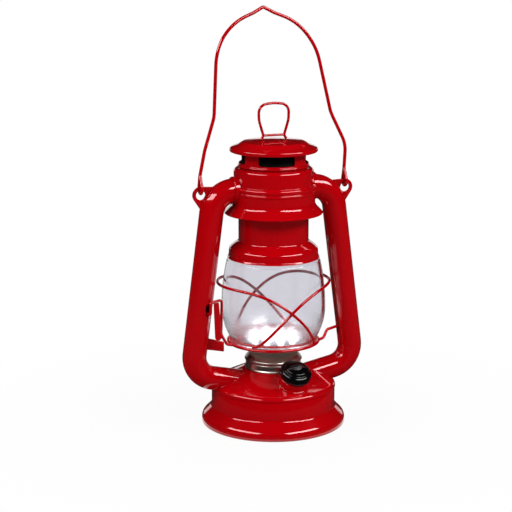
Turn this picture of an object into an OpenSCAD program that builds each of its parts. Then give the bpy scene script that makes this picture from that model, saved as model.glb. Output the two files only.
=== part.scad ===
// Battery lantern on the tubular hurricane pattern: two D cells in the tank, an LED pod under a
// clear globe, a rotary dimmer, side tubes that carry the hood, and a wire bail.
// Millimetres, +Z up, origin on the floor under the middle of the tank, front towards -Y.

/* [Tank] */
// Outer radius of the tank wall
tank_r = 51.5; // [46:0.5:57]
// How far the foot flares out past the tank wall
foot_flare = 8.5; // [7:0.5:12]
// Height of the seam where the top is pressed over the wall
seam_z = 31.2; // [30:0.2:34]
// Height at which the wall starts to flare into the foot
flare_z = 14.6; // [12:0.2:18]
// Height of the upright lip of the foot
lip_h = 6.2; // [4:0.2:8]
// Rise of the conical top
cone_rise = 12; // [11:0.5:14]
// Thickness of the steel sheet
sheet = 0.8; // [0.6:0.1:1]

/* [Burner collar and LED pod] */
// Radius of the collar's plain band
collar_r = 23; // [21:0.5:26]
// Height of the collar
collar_h = 12.6; // [12:0.2:16]
// Radius of the LED pod
pod_r = 26.8; // [24:0.2:27]
// Height of the globe plate above the collar
plate_rise = 8.3; // [8:0.1:12]
// Number of LEDs in the inner ring
inner_leds = 5; // [3:1:6]
// Number of LEDs in the outer ring
outer_leds = 10; // [8:1:14]
// Diameter of one LED
led_d = 5; // [3:0.5:5]

/* [Globe] */
// Largest outer radius of the globe
globe_r = 43; // [41:0.5:44]
// Radius of the globe at its foot
globe_foot_r = 33.5; // [32.5:0.5:34.5]
// Radius of the globe's top rim
globe_neck_r = 35.2; // [34:0.2:35.4]
// Height of the globe
globe_h = 78.5; // [74:0.5:84]
// Height of the belly above the foot
belly_h = 29.2; // [25:0.2:34]
// Thickness of the glass
glass_t = 2.2; // [1.6:0.1:2.4]

/* [Guard] */
// Diameter of the guard wire
guard_d = 2.4; // [2:0.1:2.8]
// Radius of the guard ring at the globe's foot
guard_r = 37.5; // [37.5:0.1:38.5]
// Gap between the guard loops and the globe
guard_gap = 1.9; // [1.6:0.1:2.4]
// Angle, from a loop's high side, at which it comes down to the ring
guard_reach = 136; // [126:1:142]
// How much further the loops stand off at their high sides
guard_bulge = 1.8; // [0:0.1:2.4]
// Height of a loop's high side above the ring
guard_rise = 48; // [40:1:52]
// Travel of the globe lift
lift_travel = 6; // [3:0.5:6]

/* [Chimney] */
// Radius of the bell's band
bell_r = 36.6; // [36.6:0.2:38]
// Radius of the neck that runs up through the hood
neck_r = 28.8; // [26:0.2:29]
// Height of the cap's rim above the hood
vent_gap = 12.9; // [11:0.1:15]
// Width of one vent slot
slot_w = 29; // [20:0.5:30]
// Height of one vent slot
slot_h = 8.4; // [5:0.2:9]
// Turn of the slots from the front
slot_turn = -14; // [-45:1:45]
// Outer radius of the cap
cap_r = 35.9; // [33:0.1:38]
// Height of the cap from its rim to its crown
cap_h = 9.5; // [8:0.5:12]

/* [Lifter loop] */
// Diameter of the loop's wire
loop_d = 2.2; // [1.8:0.1:2.6]
// Height of the loop
loop_h = 29.4; // [20:0.2:32]
// Width of the loop at its top
loop_w = 25.4; // [20:0.5:30]
// Width of the loop at its crossbar
loop_foot_w = 17.8; // [14:0.2:20]

/* [Hood] */
// Radius of the hood above its bead
hood_r = 32.6; // [32:0.1:34]
// Radius of the hood's flange
flange_r = 40.5; // [38:0.1:42]
// Height of the hood
hood_h = 37.2; // [36:0.2:42]
// Bare neck between the globe's top and the hood's flange
neck_show = 29.9; // [28:0.1:36]

/* [Side tubes] */
// Diameter of a side tube
tube_d = 19.8; // [16:0.2:20]
// Wall of a side tube
tube_wall = 0.8; // [0.6:0.1:1.2]
// Distance from the middle to a tube's upper corner
tube_top_x = 51; // [50:0.2:54]
// Distance from the middle to a tube's lower corner
tube_low_x = 70.8; // [69:0.2:74]
// Height of a tube's lower corner above the collar's seat
tube_low_rise = -1.35; // [-1.6:0.05:0]
// Radius of the upper bend
bend_top_r = 20; // [19:0.5:21]
// Radius of the lower bend
bend_low_r = 19; // [16:0.5:20]
// Fall of the lower arm towards the tank, degrees
arm_fall = 12; // [8:0.5:14]

/* [Bail] */
// Diameter of the bail's wire
bail_d = 2.8; // [2.4:0.1:3]
// Height of the bail's peak above its pivot
bail_h = 143.4; // [130:0.2:160]
// Lean of the bail behind upright, degrees
bail_lean = 8; // [0:1:20]
// Sideways set of the legs above the ears
bail_set_low = 3.6; // [-2:0.1:3.8]
// Sideways set of the peak
bail_set_top = -2.2; // [-3:0.1:3]
// Thickness of an ear
ear_t = 1.6; // [1.2:0.1:2]
// Radius of the hole in an ear
ear_hole_r = 3.9; // [3.8:0.1:4.5]
// Metal around the hole of an ear
ear_rim = 3; // [2.4:0.1:3]

/* [Dimmer] */
// Distance of the dimmer's axis from the edge of the cone, along the floor
dimmer_in = 13.7; // [13:0.1:14]
// Turn of the dimmer from the front
dimmer_turn = 6.5; // [-30:0.5:30]
// Radius of the dimmer's neck
dimmer_neck_r = 11.9; // [11:0.1:12.5]
// Height of the dimmer's neck
dimmer_neck_h = 7.2; // [7:0.1:9]
// Radius of the knob
knob_r = 13; // [12:0.1:14]
// Height of the knob
knob_h = 10.8; // [9:0.1:11]
// Diameter of the dimmer's shaft
shaft_d = 5.9; // [4:0.1:6]

/* [Battery bay] */
// Diameter of a cell as a share of the tank's radius
cell_d_share = 0.645; // [0.62:0.005:0.65]
// Length of a cell over its cap as a share of the tank's radius
cell_l_share = 1.194; // [1.15:0.002:1.2]
// Width of the floor between the battery opening and the tank wall
door_edge = 5.3; // [4.9:0.1:6]
// Turn that frees the battery cover, degrees
door_turn = 30; // [20:1:40]

/* [Hidden] */
$fn = 96;
// Gap between pieces that move past each other, and between pieces that are set together
run = 0.4;
fit = 0.1;
// Radial gap of a running shaft
shaft_gap = 0.05;
// Longest turn of one facet in a round stretch of an outline
arc_step = 9;
// Reach of a cutter past the face that it cuts
past = 1;

red = "firebrick";

// Stack of heights, from the floor up
shoulder_h = 3.4;
shoulder_in = 1.9;
shoulder_r = 3;
foot_r = tank_r + foot_flare;
top_lap = 0.4;
top_r = tank_r + top_lap;
cone_r0 = top_r - shoulder_in;
cone_z0 = seam_z + shoulder_h;
seat_r = collar_r + 1.6;
cone_slope = cone_rise / (cone_r0 - seat_r);
cone_tilt = atan(cone_slope);
seat_z = cone_z0 + cone_rise;
collar_top = seat_z + collar_h;
plate_z = collar_top + plate_rise;
globe_z = plate_z + 2;
globe_top = globe_z + globe_h;
hood_z = globe_top + neck_show;
hood_top = hood_z + hood_h;
tube_z = hood_z + 19.8;
cap_z = hood_top + vent_gap;
guard_z = plate_z + 2.2;

function cone_z(r) = cone_z0 + (cone_r0 - r) * cone_slope;

// Outlines: a corner is [x, z] where it is sharp and [x, z, radius] where it is round

function unit(v) = v / norm(v);
function flat(p) = [p[0], p[1]];
function reversed(list) = [for (i = [len(list) - 1:-1:0]) list[i]];

function arc(c, r, from, to) =
    let (steps = max(2, ceil(abs(to - from) / arc_step)))
    [for (i = [0:steps]) let (a = from + (to - from) * i / steps) c + r * [cos(a), sin(a)]];

function bent_corner(p, q, n) =
    let (u = unit(flat(p) - flat(q)), w = unit(flat(n) - flat(q)), half = acos(u * w) / 2,
        c = flat(q) + unit(u + w) * q[2] / sin(half), s = flat(q) + u * q[2] / tan(half) - c,
        from = atan2(s[1], s[0]), turn = (180 - 2 * half) * sign(cross(w, u)))
    arc(c, q[2], from, from + turn);

// The same for a closed outline whose corners are all round
function rounded_loop(path) = [for (i = [0:len(path) - 1])
    each bent_corner(path[(i + len(path) - 1) % len(path)], path[i], path[(i + 1) % len(path)])];

function rounded(path) = [for (i = [0:len(path) - 1]) let (q = path[i])
    each (i == 0 || i == len(path) - 1 || len(q) < 3) ? [flat(q)] : bent_corner(path[i - 1], q, path[i + 1])];

// The line moved to its right by t
function beside(line, t) = [for (i = [0:len(line) - 1])
    let (d = unit(line[min(i + 1, len(line) - 1)] - line[max(i - 1, 0)])) line[i] + t * [d[1], -d[0]]];

function skin(line, t) = concat(line, reversed(beside(line, t)));

// A sheet spun round the lamp's axis, its thickness to the right of the path
module spun(path, t = sheet) rotate_extrude() polygon(skin(rounded(path), t));

module ring(r0, r1, z0, z1) rotate_extrude() translate([r0, z0]) square([r1 - r0, z1 - z0]);

// Wires and tubes: straight runs joined by round bends

module rod(a, b, d) {
    v = b - a;
    translate(a) rotate([0, acos(v[2] / norm(v)), atan2(v[1], v[0])]) cylinder(d = d, h = norm(v));
}

function bend_half(p, q, n) = acos(unit(p - q) * unit(n - q)) / 2;

module elbow(p, q, n, r, d) {
    u = unit(p - q);
    w = unit(n - q);
    half = bend_half(p, q, n);
    c = q + unit(u + w) * r / sin(half);
    x = unit(q + u * r / tan(half) - c);
    z = unit(cross(x, q + w * r / tan(half) - c));
    y = cross(z, x);
    multmatrix([[x[0], y[0], z[0], c[0]], [x[1], y[1], z[1], c[1]], [x[2], y[2], z[2], c[2]], [0, 0, 0, 1]])
        rotate_extrude(angle = 180 - 2 * half) translate([r, 0]) circle(d = d + bend_swell);
}

// Bends come out a hair thicker than the straight runs, which reach a little way into them
bend_swell = 0.06;
bend_lap = 0.1;

module wire(points, radii, d) {
    last = len(points) - 1;
    cut = [for (i = [0:last]) (i == 0 || i == last) ? 0
        : radii[i - 1] / tan(bend_half(points[i - 1], points[i], points[i + 1]))];
    for (i = [0:last - 1]) {
        v = unit(points[i + 1] - points[i]);
        a = points[i] + v * (i == 0 ? 0 : cut[i] - bend_lap);
        b = points[i + 1] - v * (i == last - 1 ? 0 : cut[i + 1] - bend_lap);
        rod(a, b, d);
    }
    for (i = [1:last - 1]) elbow(points[i - 1], points[i], points[i + 1], radii[i - 1], d);
}

// A tube swept along points, made of flat rings that stand square to the path
function sweep_ring(points, i, d, sides) =
    let (last = len(points) - 1, t = unit(points[min(i + 1, last)] - points[max(i - 1, 0)]),
        side = unit(cross(t, [0, 0, 1])), up = cross(side, t))
    [for (k = [0:sides - 1]) let (a = 360 * k / sides) points[i] + d / 2 * (cos(a) * side + sin(a) * up)];

module swept(points, d, sides = 8) {
    rings = len(points);
    faces = [for (i = [0:rings - 2]) for (k = [0:sides - 1])
        let (a = i * sides + k, b = i * sides + (k + 1) % sides)
        each [[a, b, b + sides], [a, b + sides, a + sides]]];
    ends = [for (k = [1:sides - 2]) each
        [[0, k + 1, k], (rings - 1) * sides * [1, 1, 1] + [0, k, k + 1]]];
    polyhedron([for (i = [0:rings - 1]) each sweep_ring(points, i, d, sides)], concat(faces, ends));
}

// Tank

tank_top_path = [[collar_r - 5, seat_z], [seat_r, seat_z, 1], [cone_r0, cone_z0, 5],
    [top_r, cone_z0 - shoulder_in, shoulder_r], [top_r, seam_z]];

// Everything under the outer face of the tank's top, with a small gap over it
module under_top(gap) rotate_extrude()
    polygon(concat([[0, flare_z], [0, seat_z + gap]], beside(rounded(tank_top_path), -gap),
        [[top_r + gap, flare_z]]));

module tank_body() color(red) {
    lap_r = top_r - sheet - fit;
    spun([[lap_r, seam_z + 0.5], [lap_r, seam_z - 0.2], [tank_r, seam_z - 0.9], [tank_r, flare_z, 3.5],
        [foot_r, lip_h, 7], [foot_r, 0, 1.5], [foot_r - 5, 0]]);
}

module tank_top() color(red) difference() {
    spun(tank_top_path);
    on_dimmer() translate([0, 0, -8]) cylinder(r = lead_hole_r, h = 16);
}

// Battery bay

cell_d = cell_d_share * tank_r;
cell_l = cell_l_share * tank_r;
door_r = tank_r - door_edge;
floor_t = 2;
floor_z = sheet;
floor_top = floor_z + floor_t;
lug_h = 1.5;
lug_l = 2.2;
lug_angle = 16;
lug_count = 3;
lug_z = floor_top + 0.3;
rim_z = lug_z + lug_h + run;
bay_r = tank_r - sheet - 0.4;
cell_gap = 0.4;
cell_y = (cell_d + cell_gap) / 2;
cell_z = floor_top + 0.5 + cell_d / 2;
nub_l = 1.5;
contact_t = 0.5;
contact_gap = 2.4;
tray_wall = 1.3;
tray_x = cell_l / 2 + contact_gap;
tray_y = cell_y + cell_d / 2 + 0.3;
tray_top = cell_z + 4;

module lug_ring(count, r0, r1, z0, z1, angle, turn) for (i = [0:count - 1])
    rotate([0, 0, turn + i * 360 / count - angle / 2]) rotate_extrude(angle = angle)
        translate([r0, z0]) square([r1 - r0, z1 - z0]);

module floor_plate() color("dimgray") difference() {
    union() {
        ring(door_r, foot_r - sheet - 1.6, floor_z, floor_top);
        ring(bay_r - 1.4, bay_r, floor_top - 0.5, rim_z);
    }
    lug_ring(lug_count, door_r - past, door_r + lug_l + run - fit, floor_z - past, floor_top + past,
        lug_angle + 3, door_turn);
}

// A round cover with a finger bar across a dished recess
// Its lugs pass the notches and turn behind the floor plate
module battery_cover() color("dimgray") difference() {
    cover_r = door_r - run;
    cover_z = floor_z + 0.2;
    union() {
        ring(0, cover_r, cover_z, floor_top - 0.2);
        ring(cover_r - 2.2, cover_r, floor_top - 0.2, lug_z + lug_h);
        lug_ring(lug_count, cover_r - 0.2, door_r + lug_l, lug_z, lug_z + lug_h, lug_angle, 0);
    }
    for (side = [-1, 1]) translate([side * 13, 0, cover_z - past]) intersection() {
        cylinder(r = 14, h = past + 1);
        translate([side * 7.5, 0, 0]) translate([-10, -14, 0]) cube([20, 28, past + 1]);
    }
}

module battery_tray() color("black") difference() {
    union() {
        ring(door_r, bay_r, rim_z, rim_z + 1.4);
        translate([-tray_x - tray_wall, -tray_y - tray_wall, rim_z])
            cube([2 * (tray_x + tray_wall), 2 * (tray_y + tray_wall), tray_top - rim_z]);
    }
    translate([-tray_x, -tray_y, rim_z - past]) cube([2 * tray_x, 2 * tray_y, tray_top - rim_z + 2 * past]);
}

// Jacket with rounded ends and a raised cap on the positive end, lying along X
module d_cell(y, turn) translate([0, y, cell_z]) rotate([0, 90, turn]) translate([0, 0, -cell_l / 2])
    rotate_extrude() polygon(rounded([[0, 0], [cell_d / 2, 0, 1.2], [cell_d / 2, cell_l - nub_l, 1.6],
        [cell_d * 0.16, cell_l - nub_l], [cell_d * 0.16, cell_l, 0.6], [0, cell_l]]));

module front_cell() color("goldenrod") d_cell(-cell_y, 0);
module rear_cell() color("goldenrod") d_cell(cell_y, 180);

// A contact plate on the tray's end wall with a pressed dimple for each cell that it meets
module contact(side, rows, half_w) color("silver") {
    face = tray_x - fit;
    for (y = rows) translate([side * (face - contact_t), y, cell_z]) rotate([0, -side * 90, 0])
        cylinder(r1 = 5, r2 = 2.5, h = face - contact_t - cell_l / 2 - fit);
    translate([side > 0 ? face - contact_t : -face, min(rows) - half_w, rim_z + 3])
        cube([contact_t, max(rows) - min(rows) + 2 * half_w, cell_z + 2 - rim_z]);
}

module bridge_contact() contact(1, [-cell_y, cell_y], 7);
module positive_contact() contact(-1, [cell_y], 7);
module negative_contact() contact(-1, [-cell_y], 7);

// Burner collar and LED pod

pod_neck_r = 13;
board_t = 1.6;
pod_floor = plate_z - 2.3;
board_z = pod_floor + sheet;
led_h = 8.6;
led_z = board_z + board_t;

module burner_collar() color("silver")
    spun([[pod_neck_r + sheet / 2 + fit, collar_top + 3.1], [collar_r - 2.5, collar_top - 0.2, 4.4],
        [collar_r + 1, collar_top - 5, 1.6], [collar_r - 1.1, collar_top - 6.6, 0.7],
        [collar_r, collar_top - 7.6, 1.1], [collar_r, seat_z + sheet, 0.5], [seat_r - 0.2, seat_z + sheet]]);

// A spun cup on a short neck, with a ledge that the globe plate rests on
module led_pod() color("silver") {
    spun([[pod_neck_r - past, pod_floor], [pod_r, pod_floor, 1], [pod_r, plate_z + 1.2]], -sheet);
    ring(pod_neck_r - sheet, pod_neck_r, collar_top - 3, pod_floor + sheet / 2);
    ring(pod_r - sheet / 2, pod_r + 2.4, globe_z - 2.1, globe_z - fit - sheet - 0.3);
}

module led_board() color("white") difference() {
    ring(0, pod_r - sheet - 0.3, board_z, board_z + board_t);
    for (side = [-1, 1]) translate([side * 4, 0, board_z - past]) cylinder(r = 1, h = board_t + 2 * past);
}

function led_rings() = concat(
    [for (i = [0:inner_leds - 1]) [pod_r * 0.3, i * 360 / inner_leds]],
    [for (i = [0:outer_leds - 1]) [pod_r * 0.7, (i + 0.5) * 360 / outer_leds]]);

module on_leds() for (p = led_rings()) rotate([0, 0, p[1]]) translate([p[0], 0, 0]) children();

module leds() color("white") on_leds() {
    translate([0, 0, led_z]) cylinder(d = led_d + 0.8, h = 1);
    translate([0, 0, led_z + 1]) cylinder(d = led_d, h = led_h - 1 - led_d / 2);
    translate([0, 0, led_z + led_h - led_d / 2]) intersection() {
        sphere(d = led_d);
        cylinder(d = led_d + past, h = led_d);
    }
}

// Silvered tray round the LEDs, with a hole for each and a flared rim
module reflector() color("gainsboro") difference() {
    spun([[0, led_z + 1.7], [pod_r - 4, led_z + 1.7, 2], [pod_r - sheet - 0.4, led_z + 4]], 0.6);
    on_leds() translate([0, 0, led_z]) cylinder(d = led_d + 0.6, h = 6);
}

// Dimmer, built square to the cone

dimmer_r = cone_r0 - dimmer_in;
lead_hole_r = 3;
pot_r = 8;
bush_r = shaft_d / 2 + shaft_gap + 0.9;
knob_z = dimmer_neck_h + 0.6;
neck_lid = 0.9;

module on_dimmer() rotate([0, 0, dimmer_turn - 90]) translate([dimmer_r, 0, cone_z(dimmer_r)])
    rotate([0, cone_tilt, 0]) children();

module dimmer_neck() color(red) difference() {
    on_dimmer() difference() {
        union() {
            translate([0, 0, -5]) cylinder(r = dimmer_neck_r + 0.9, h = 6);
            rotate_extrude() polygon(rounded([[0, 0], [dimmer_neck_r, 0], [dimmer_neck_r, dimmer_neck_h, 0.8],
                [0, dimmer_neck_h]]));
        }
        translate([0, 0, -5 - past]) cylinder(r = dimmer_neck_r - 1, h = 5 + past + dimmer_neck_h - neck_lid);
        cylinder(r = bush_r + fit, h = dimmer_neck_h + past);
    }
    under_top(0.05);
    cylinder(r = seat_r + fit, h = collar_top);
}

module dimmer_pot() color("dimgray") on_dimmer() difference() {
    union() {
        translate([0, 0, 0.5]) cylinder(r = pot_r, h = dimmer_neck_h - neck_lid - 0.5 - fit);
        cylinder(r = bush_r, h = dimmer_neck_h + 2.2);
    }
    translate([0, 0, 2.5]) cylinder(d = shaft_d + 2 * shaft_gap, h = dimmer_neck_h + 2.2);
}

module dimmer_nut() color("silver") on_dimmer() translate([0, 0, dimmer_neck_h]) difference() {
    cylinder(r = bush_r + 2.4, h = 1.8, $fn = 6);
    translate([0, 0, -past]) cylinder(r = bush_r + fit / 2, h = 4);
}

module dimmer_shaft() color("silver") on_dimmer() translate([0, 0, 2.7])
    cylinder(d = shaft_d, h = knob_z + knob_h - 2.4 - 2.7);

// Moulded cap: a rolled skirt, a step and a domed top, hollow over the nut
module dimmer_knob() color([0.05, 0.05, 0.05]) on_dimmer() translate([0, 0, knob_z]) difference() {
    step_z = knob_h * 0.69;
    rotate_extrude() polygon(rounded([[0, 0], [knob_r - 1, 0], [knob_r, 1.4, 1],
        [knob_r, step_z, 2.6], [knob_r * 0.74, step_z, 0.6], [knob_r * 0.7, knob_h - 1.4, 1.2],
        [knob_r * 0.38, knob_h, 6], [0, knob_h]]));
    translate([0, 0, -past]) cylinder(r = bush_r + 3, h = 2.6 + past);
    translate([0, 0, -past]) cylinder(d = shaft_d + 0.02, h = knob_h - 2.4 + past);
}

// Side tubes, ears and bracket

tube_low_z = seat_z + tube_low_rise;
arm_end_x = seat_r + 2.5;
tube_end_x = hood_r - 2.4;
tube_lean = (tube_low_x - tube_top_x) / (tube_z - tube_low_z);

// Distance from the middle to a tube's centre line at height z
function tube_x(z) = tube_top_x + (tube_z - z) * tube_lean;

function tube_path(side, extra) = [[side * (tube_end_x - extra), 0, tube_z], [side * tube_top_x, 0, tube_z],
    [side * tube_low_x, 0, tube_low_z],
    [side * (arm_end_x - extra), 0, tube_low_z - (tube_low_x - arm_end_x + extra) * tan(arm_fall)]];

module tube_solid(side, d, extra = 0) wire(tube_path(side, extra), [bend_top_r, bend_low_r], d);

module side_tube(side) difference() {
    tube_solid(side, tube_d);
    tube_solid(side, tube_d - 2 * tube_wall, past);
    under_top(0.05);
}

// Upright slot in a tube that a wire of the guard rides in
module wire_slot(p, along, length) translate(p) rotate([0, 0, along])
    translate([-length, -slot_half, -slot_half])
    cube([2 * length, 2 * slot_half, 2 * slot_half + lift_travel]);

slot_half = guard_d / 2 + 0.8;

module left_tube() color(red) difference() {
    side_tube(-1);
    wire_slot(hook_in, hook_angle, 4);
}

module right_tube() color(red) difference() {
    side_tube(1);
    wire_slot(concat(arm_to - 3.5 * [cos(arm_angle), sin(arm_angle)], arm_tube_z), arm_angle, 4);
}

bend_top_cut = bend_top_r * tan((90 - atan(tube_lean)) / 2);
bend_c = [tube_top_x - bend_top_cut, tube_z - bend_top_r];
ear_r = ear_hole_r + ear_rim;
ear_x = bend_c[0] + (bend_top_r + tube_d / 2) * cos(35) + 4.4;
ear_z = bend_c[1] + (bend_top_r + tube_d / 2) * sin(35) + 0.4;
pivot_z = ear_z + ear_hole_r + ear_rim / 2;

// A flat lug set on the outside of a tube's upper bend
module ear(side) color(red) mirror([side > 0 ? 0 : 1, 0, 0]) rotate([90, 0, 0]) translate([0, 0, -ear_t / 2])
    linear_extrude(ear_t) difference() {
        polygon(concat([[bend_c[0] + 16, ear_z + ear_r - 0.8]], arc([ear_x, ear_z], ear_r, 94, -36),
            [[bend_c[0] + bend_top_r + tube_d / 2 - 0.4, bend_c[1] + 6], [bend_c[0] + 16, bend_c[1] + 12]]));
        translate([ear_x, ear_z]) circle(r = ear_hole_r);
        translate(bend_c) circle(r = bend_top_r + tube_d / 2 + bend_swell / 2 + 0.03);
    }

module left_ear() ear(-1);
module right_ear() ear(1);

// A bent tab on the inside of the left tube that stops the lift rod's foot
module lever_bracket() color(red) difference() {
    root_x = tube_x(guard_z) - tube_d / 2 - 2;
    tip_x = guard_r + guard_d + 3.3;
    translate([0, 0.6, 0]) rotate([90, 0, 0]) linear_extrude(1.2)
        polygon(rounded([[-root_x - 6, guard_z + 7.5], [-root_x + 3, guard_z + 4.8, 8],
            [-tip_x, guard_z + 1.8], [-tip_x, guard_z - 6.6], [-root_x + 3, guard_z - 4.6, 12], [-root_x - 6, guard_z - 3]]));
    tube_solid(-1, tube_d + bend_swell + 0.06);
}

// Hood

socket_r = tube_d / 2 + 1.3;
socket_l = 1.4;
bead_z = hood_z + 18.6;

module hood() color(red) difference() {
    union() {
        spun([[neck_r + 0.5, hood_top], [hood_r, hood_top, 2.2], [hood_r, bead_z + 4.8, 0.6],
            [hood_r + 2, bead_z + 3.6, 1], [hood_r + 2, bead_z + 0.4, 1], [hood_r + 1.4, bead_z - 0.6, 0.6],
            [hood_r + 1.4, hood_z + 7, 6], [flange_r - 1.4, hood_z + 2.2, 1.6], [flange_r, hood_z]]);
        for (side = [-1, 1]) translate([side * (hood_r - 4), 0, tube_z]) rotate([0, side * 90, 0])
            cylinder(r = socket_r, h = socket_l + 6);
    }
    translate([0, 0, hood_z]) cylinder(r = hood_r - sheet - 0.01, h = hood_h - 3);
    for (side = [-1, 1]) tube_solid(side, tube_d + 2 * fit, 4);
}

// Globe: two arcs that meet at the belly, a drawn-in neck and a thick foot

belly_z = globe_z + belly_h;
foot_in = globe_r - globe_foot_r;
low_arc_r = (foot_in * foot_in + belly_h * belly_h) / (2 * foot_in);
globe_shoulder_r = globe_r - 4;
globe_shoulder_z = globe_top - 11.4;
top_rise = globe_shoulder_z - belly_z;
top_in = globe_r - globe_shoulder_r;
top_arc_r = (top_in * top_in + top_rise * top_rise) / (2 * top_in);

// Outer radius of the globe's lower half at height z
function globe_at(z) = z > belly_z ? globe_r - top_arc_r + sqrt(pow(top_arc_r, 2) - pow(z - belly_z, 2))
    : globe_r - low_arc_r + sqrt(pow(low_arc_r, 2) - pow(belly_z - max(z, globe_z), 2));

function globe_line() = concat(
    rounded([[globe_neck_r, globe_top], [globe_neck_r, globe_top - 6.4, 2],
        [globe_shoulder_r - 0.6, globe_top - 9.4, 2.6], [globe_shoulder_r, globe_shoulder_z]]),
    [for (i = [1:7]) let (z = globe_shoulder_z - top_rise * i / 8) [globe_at(z), z]],
    [for (i = [0:12]) let (z = belly_z - belly_h * i / 12) [globe_at(z), z]]);

module globe() color([0.9, 0.95, 1, 0.3]) rotate_extrude() {
    foot_in_r = globe_foot_r - glass_t - 1.6;
    ledge_z = globe_z + 2.4;
    polygon(concat(globe_line(), [[foot_in_r, globe_z], [foot_in_r, ledge_z]],
        [for (p = reversed(beside(globe_line(), glass_t))) if (p[1] > ledge_z + 0.4) p]));
}

// Globe plate and guard, which rise together with the globe

module globe_plate() color(red) {
    rim_r = guard_r - guard_d / 2 - 0.15;
    top_z = globe_z - fit;
    ring(pod_r + 0.7, rim_r, top_z - sheet, top_z);
    ring(rim_r - sheet, rim_r, top_z - sheet / 2, top_z + 1);
}

module guard_ring() color(red) ring_torus(0);

loop_end_z = guard_z + guard_d + 0.05;
loop_steps = 24;

// One loop runs high over the side of the lamp and falls, front and back, to the ring
function loop_point(side, turn) =
    let (t = abs(turn) / guard_reach, z = loop_end_z + guard_rise * (1 + cos(180 * pow(t, 2.1))) / 2,
        far = globe_at(z) + guard_gap + guard_d / 2 + guard_bulge * exp(-pow(turn / 36, 2)),
        mix = pow(t, 20), r = far * (1 - mix) + guard_r * mix)
    [side * r * cos(turn), r * sin(turn), z];

// Where the loops cross, at the front and the back, the left one lies outside the right one
loop_part = (guard_d + 0.3) / 2;

module guard_loop(side) color(red) swept([for (i = [-loop_steps:loop_steps])
    let (turn = guard_reach * sign(i) * pow(abs(i) / loop_steps, 0.85), p = loop_point(side, turn),
        out = -side * loop_part * exp(-pow((abs(turn) - 90) / 26, 2)))
    p + out * unit([p[0], p[1], 0])], guard_d);

module left_guard_loop() guard_loop(-1);
module right_guard_loop() guard_loop(1);

// S-bent arm from the ring to the slot in the right tube

arm_turn = -19;
arm_tube_z = guard_z + 7.2;
arm_from = (guard_r + guard_d / 2 - 0.2) * [cos(arm_turn), sin(arm_turn)];
arm_to = [tube_x(arm_tube_z) - tube_d / 2 + 3.4, 0];
arm_angle = atan2(arm_to[1] - arm_from[1], arm_to[0] - arm_from[0]);

module guard_arm() color(red) difference() {
    way = unit(arm_to - arm_from);
    rise = arm_tube_z - guard_z;
    p = [for (s = [[0, 0], [5, 0.4], [9.5, rise - 0.6]]) concat(arm_from + way * s[0], guard_z + s[1])];
    wire(concat(p, [concat(arm_to, arm_tube_z)]), [3, 3], guard_d);
    ring_torus(0.04);
}

// The guard ring, thicker by a small gap when it is cut from a wire that ends on it
module ring_torus(gap) rotate_extrude() translate([guard_r, guard_z]) circle(d = guard_d + gap);

// Finger lift on the left: the rod rises from the ring, runs over to the tube and hooks into its slot

rod_y = -9.5;
rod_x = -(globe_r + 4.8);
rod_top = guard_z + 40;
rod_fall = 1;
hook_y = -12.4;
hook_z = guard_z + 29;
hook_x = -tube_x(rod_top) + 4.2;
hook_angle = atan2(hook_y, hook_x + tube_x(hook_z));
hook_in = [-tube_x(hook_z) + tube_d / 2 * cos(hook_angle), tube_d / 2 * sin(hook_angle), hook_z];

module lift_rod() color(red) difference() {
    ring_turn = 188;
    start_r = guard_r + guard_d / 2 - 0.2;
    start = [start_r * cos(ring_turn), start_r * sin(ring_turn), guard_z];
    into = unit([cos(hook_angle), sin(hook_angle), 0]);
    wire([start, start + [-4.5, -1, 1.2], [rod_x - 0.8, rod_y, guard_z + 11], [rod_x, rod_y, rod_top],
        [hook_x, hook_y, rod_top - rod_fall], [hook_x, hook_y, hook_z], hook_in - into * 2.4],
        [4, 6, 2.4, 2.2, 2], guard_d);
    ring_torus(0.04);
}

// Flat thumb tongue that hangs from the rod's top bar
module lift_tongue() color(red) {
    low_x = rod_x - 3.8;
    low_z = guard_z + 9.5;
    half_w = 2.8;
    mid_x = (rod_x + hook_x) / 2 + 0.3;
    under = guard_d / 2 + 2 * fit;
    tops = [for (x = [mid_x - half_w, mid_x + half_w * 0.6])
        [x, rod_top - rod_fall * (rod_x - x) / (rod_x - hook_x) - under]];
    translate([0, rod_y - under, 0]) rotate([90, 0, 0]) linear_extrude(1.6)
        polygon(concat([tops[0]], arc([low_x, low_z], half_w, -180, 0), [tops[1]]));
}

// Chimney: bell and neck, slotted collar, flue and cap rise together through the hood

bell_z = globe_top + 0.3;
neck_top = hood_top - 0.4;
ridge_r = neck_r + 1;
spigot_r = neck_r - sheet - fit;
cap_under = cap_z + cap_h - 4.3;
flue_r = neck_r - 2.6;

module bell() color(red)
    spun([[neck_r, neck_top], [neck_r, bell_z + 6.2, 2], [bell_r - 2.4, bell_z + 2.2, 2], [bell_r, bell_z, 2],
        [bell_r, bell_z - 3.9, 1], [bell_r + 1.2, bell_z - 6.2, 1.2], [bell_r + 1.2, bell_z - 7.6]]);

module vent_collar() color(red) difference() {
    spun([[neck_r - 0.4, cap_under], [neck_r - 0.4, hood_top + 3, 0.8], [ridge_r, hood_top + 1.6, 1],
        [spigot_r, hood_top + 0.3, 0.5], [spigot_r, hood_top - 9]]);
    for (i = [0:3]) rotate([90, 0, slot_turn + i * 90]) translate([-slot_w / 2, hood_top + 4, 0])
        linear_extrude(60) slot_outline();
}

module slot_outline() polygon(rounded_loop([[0, 0, 2], [slot_w, 0, 2], [slot_w, slot_h, 2], [0, slot_h, 2]]));

// Black inner tube that the warm air rises through
module flue() color([0.06, 0.06, 0.06])
    spun([[flue_r, cap_under - 2], [flue_r, hood_top - 7.4, 0.8],
        [spigot_r - sheet - fit, hood_top - 8]], 0.6);

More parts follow.
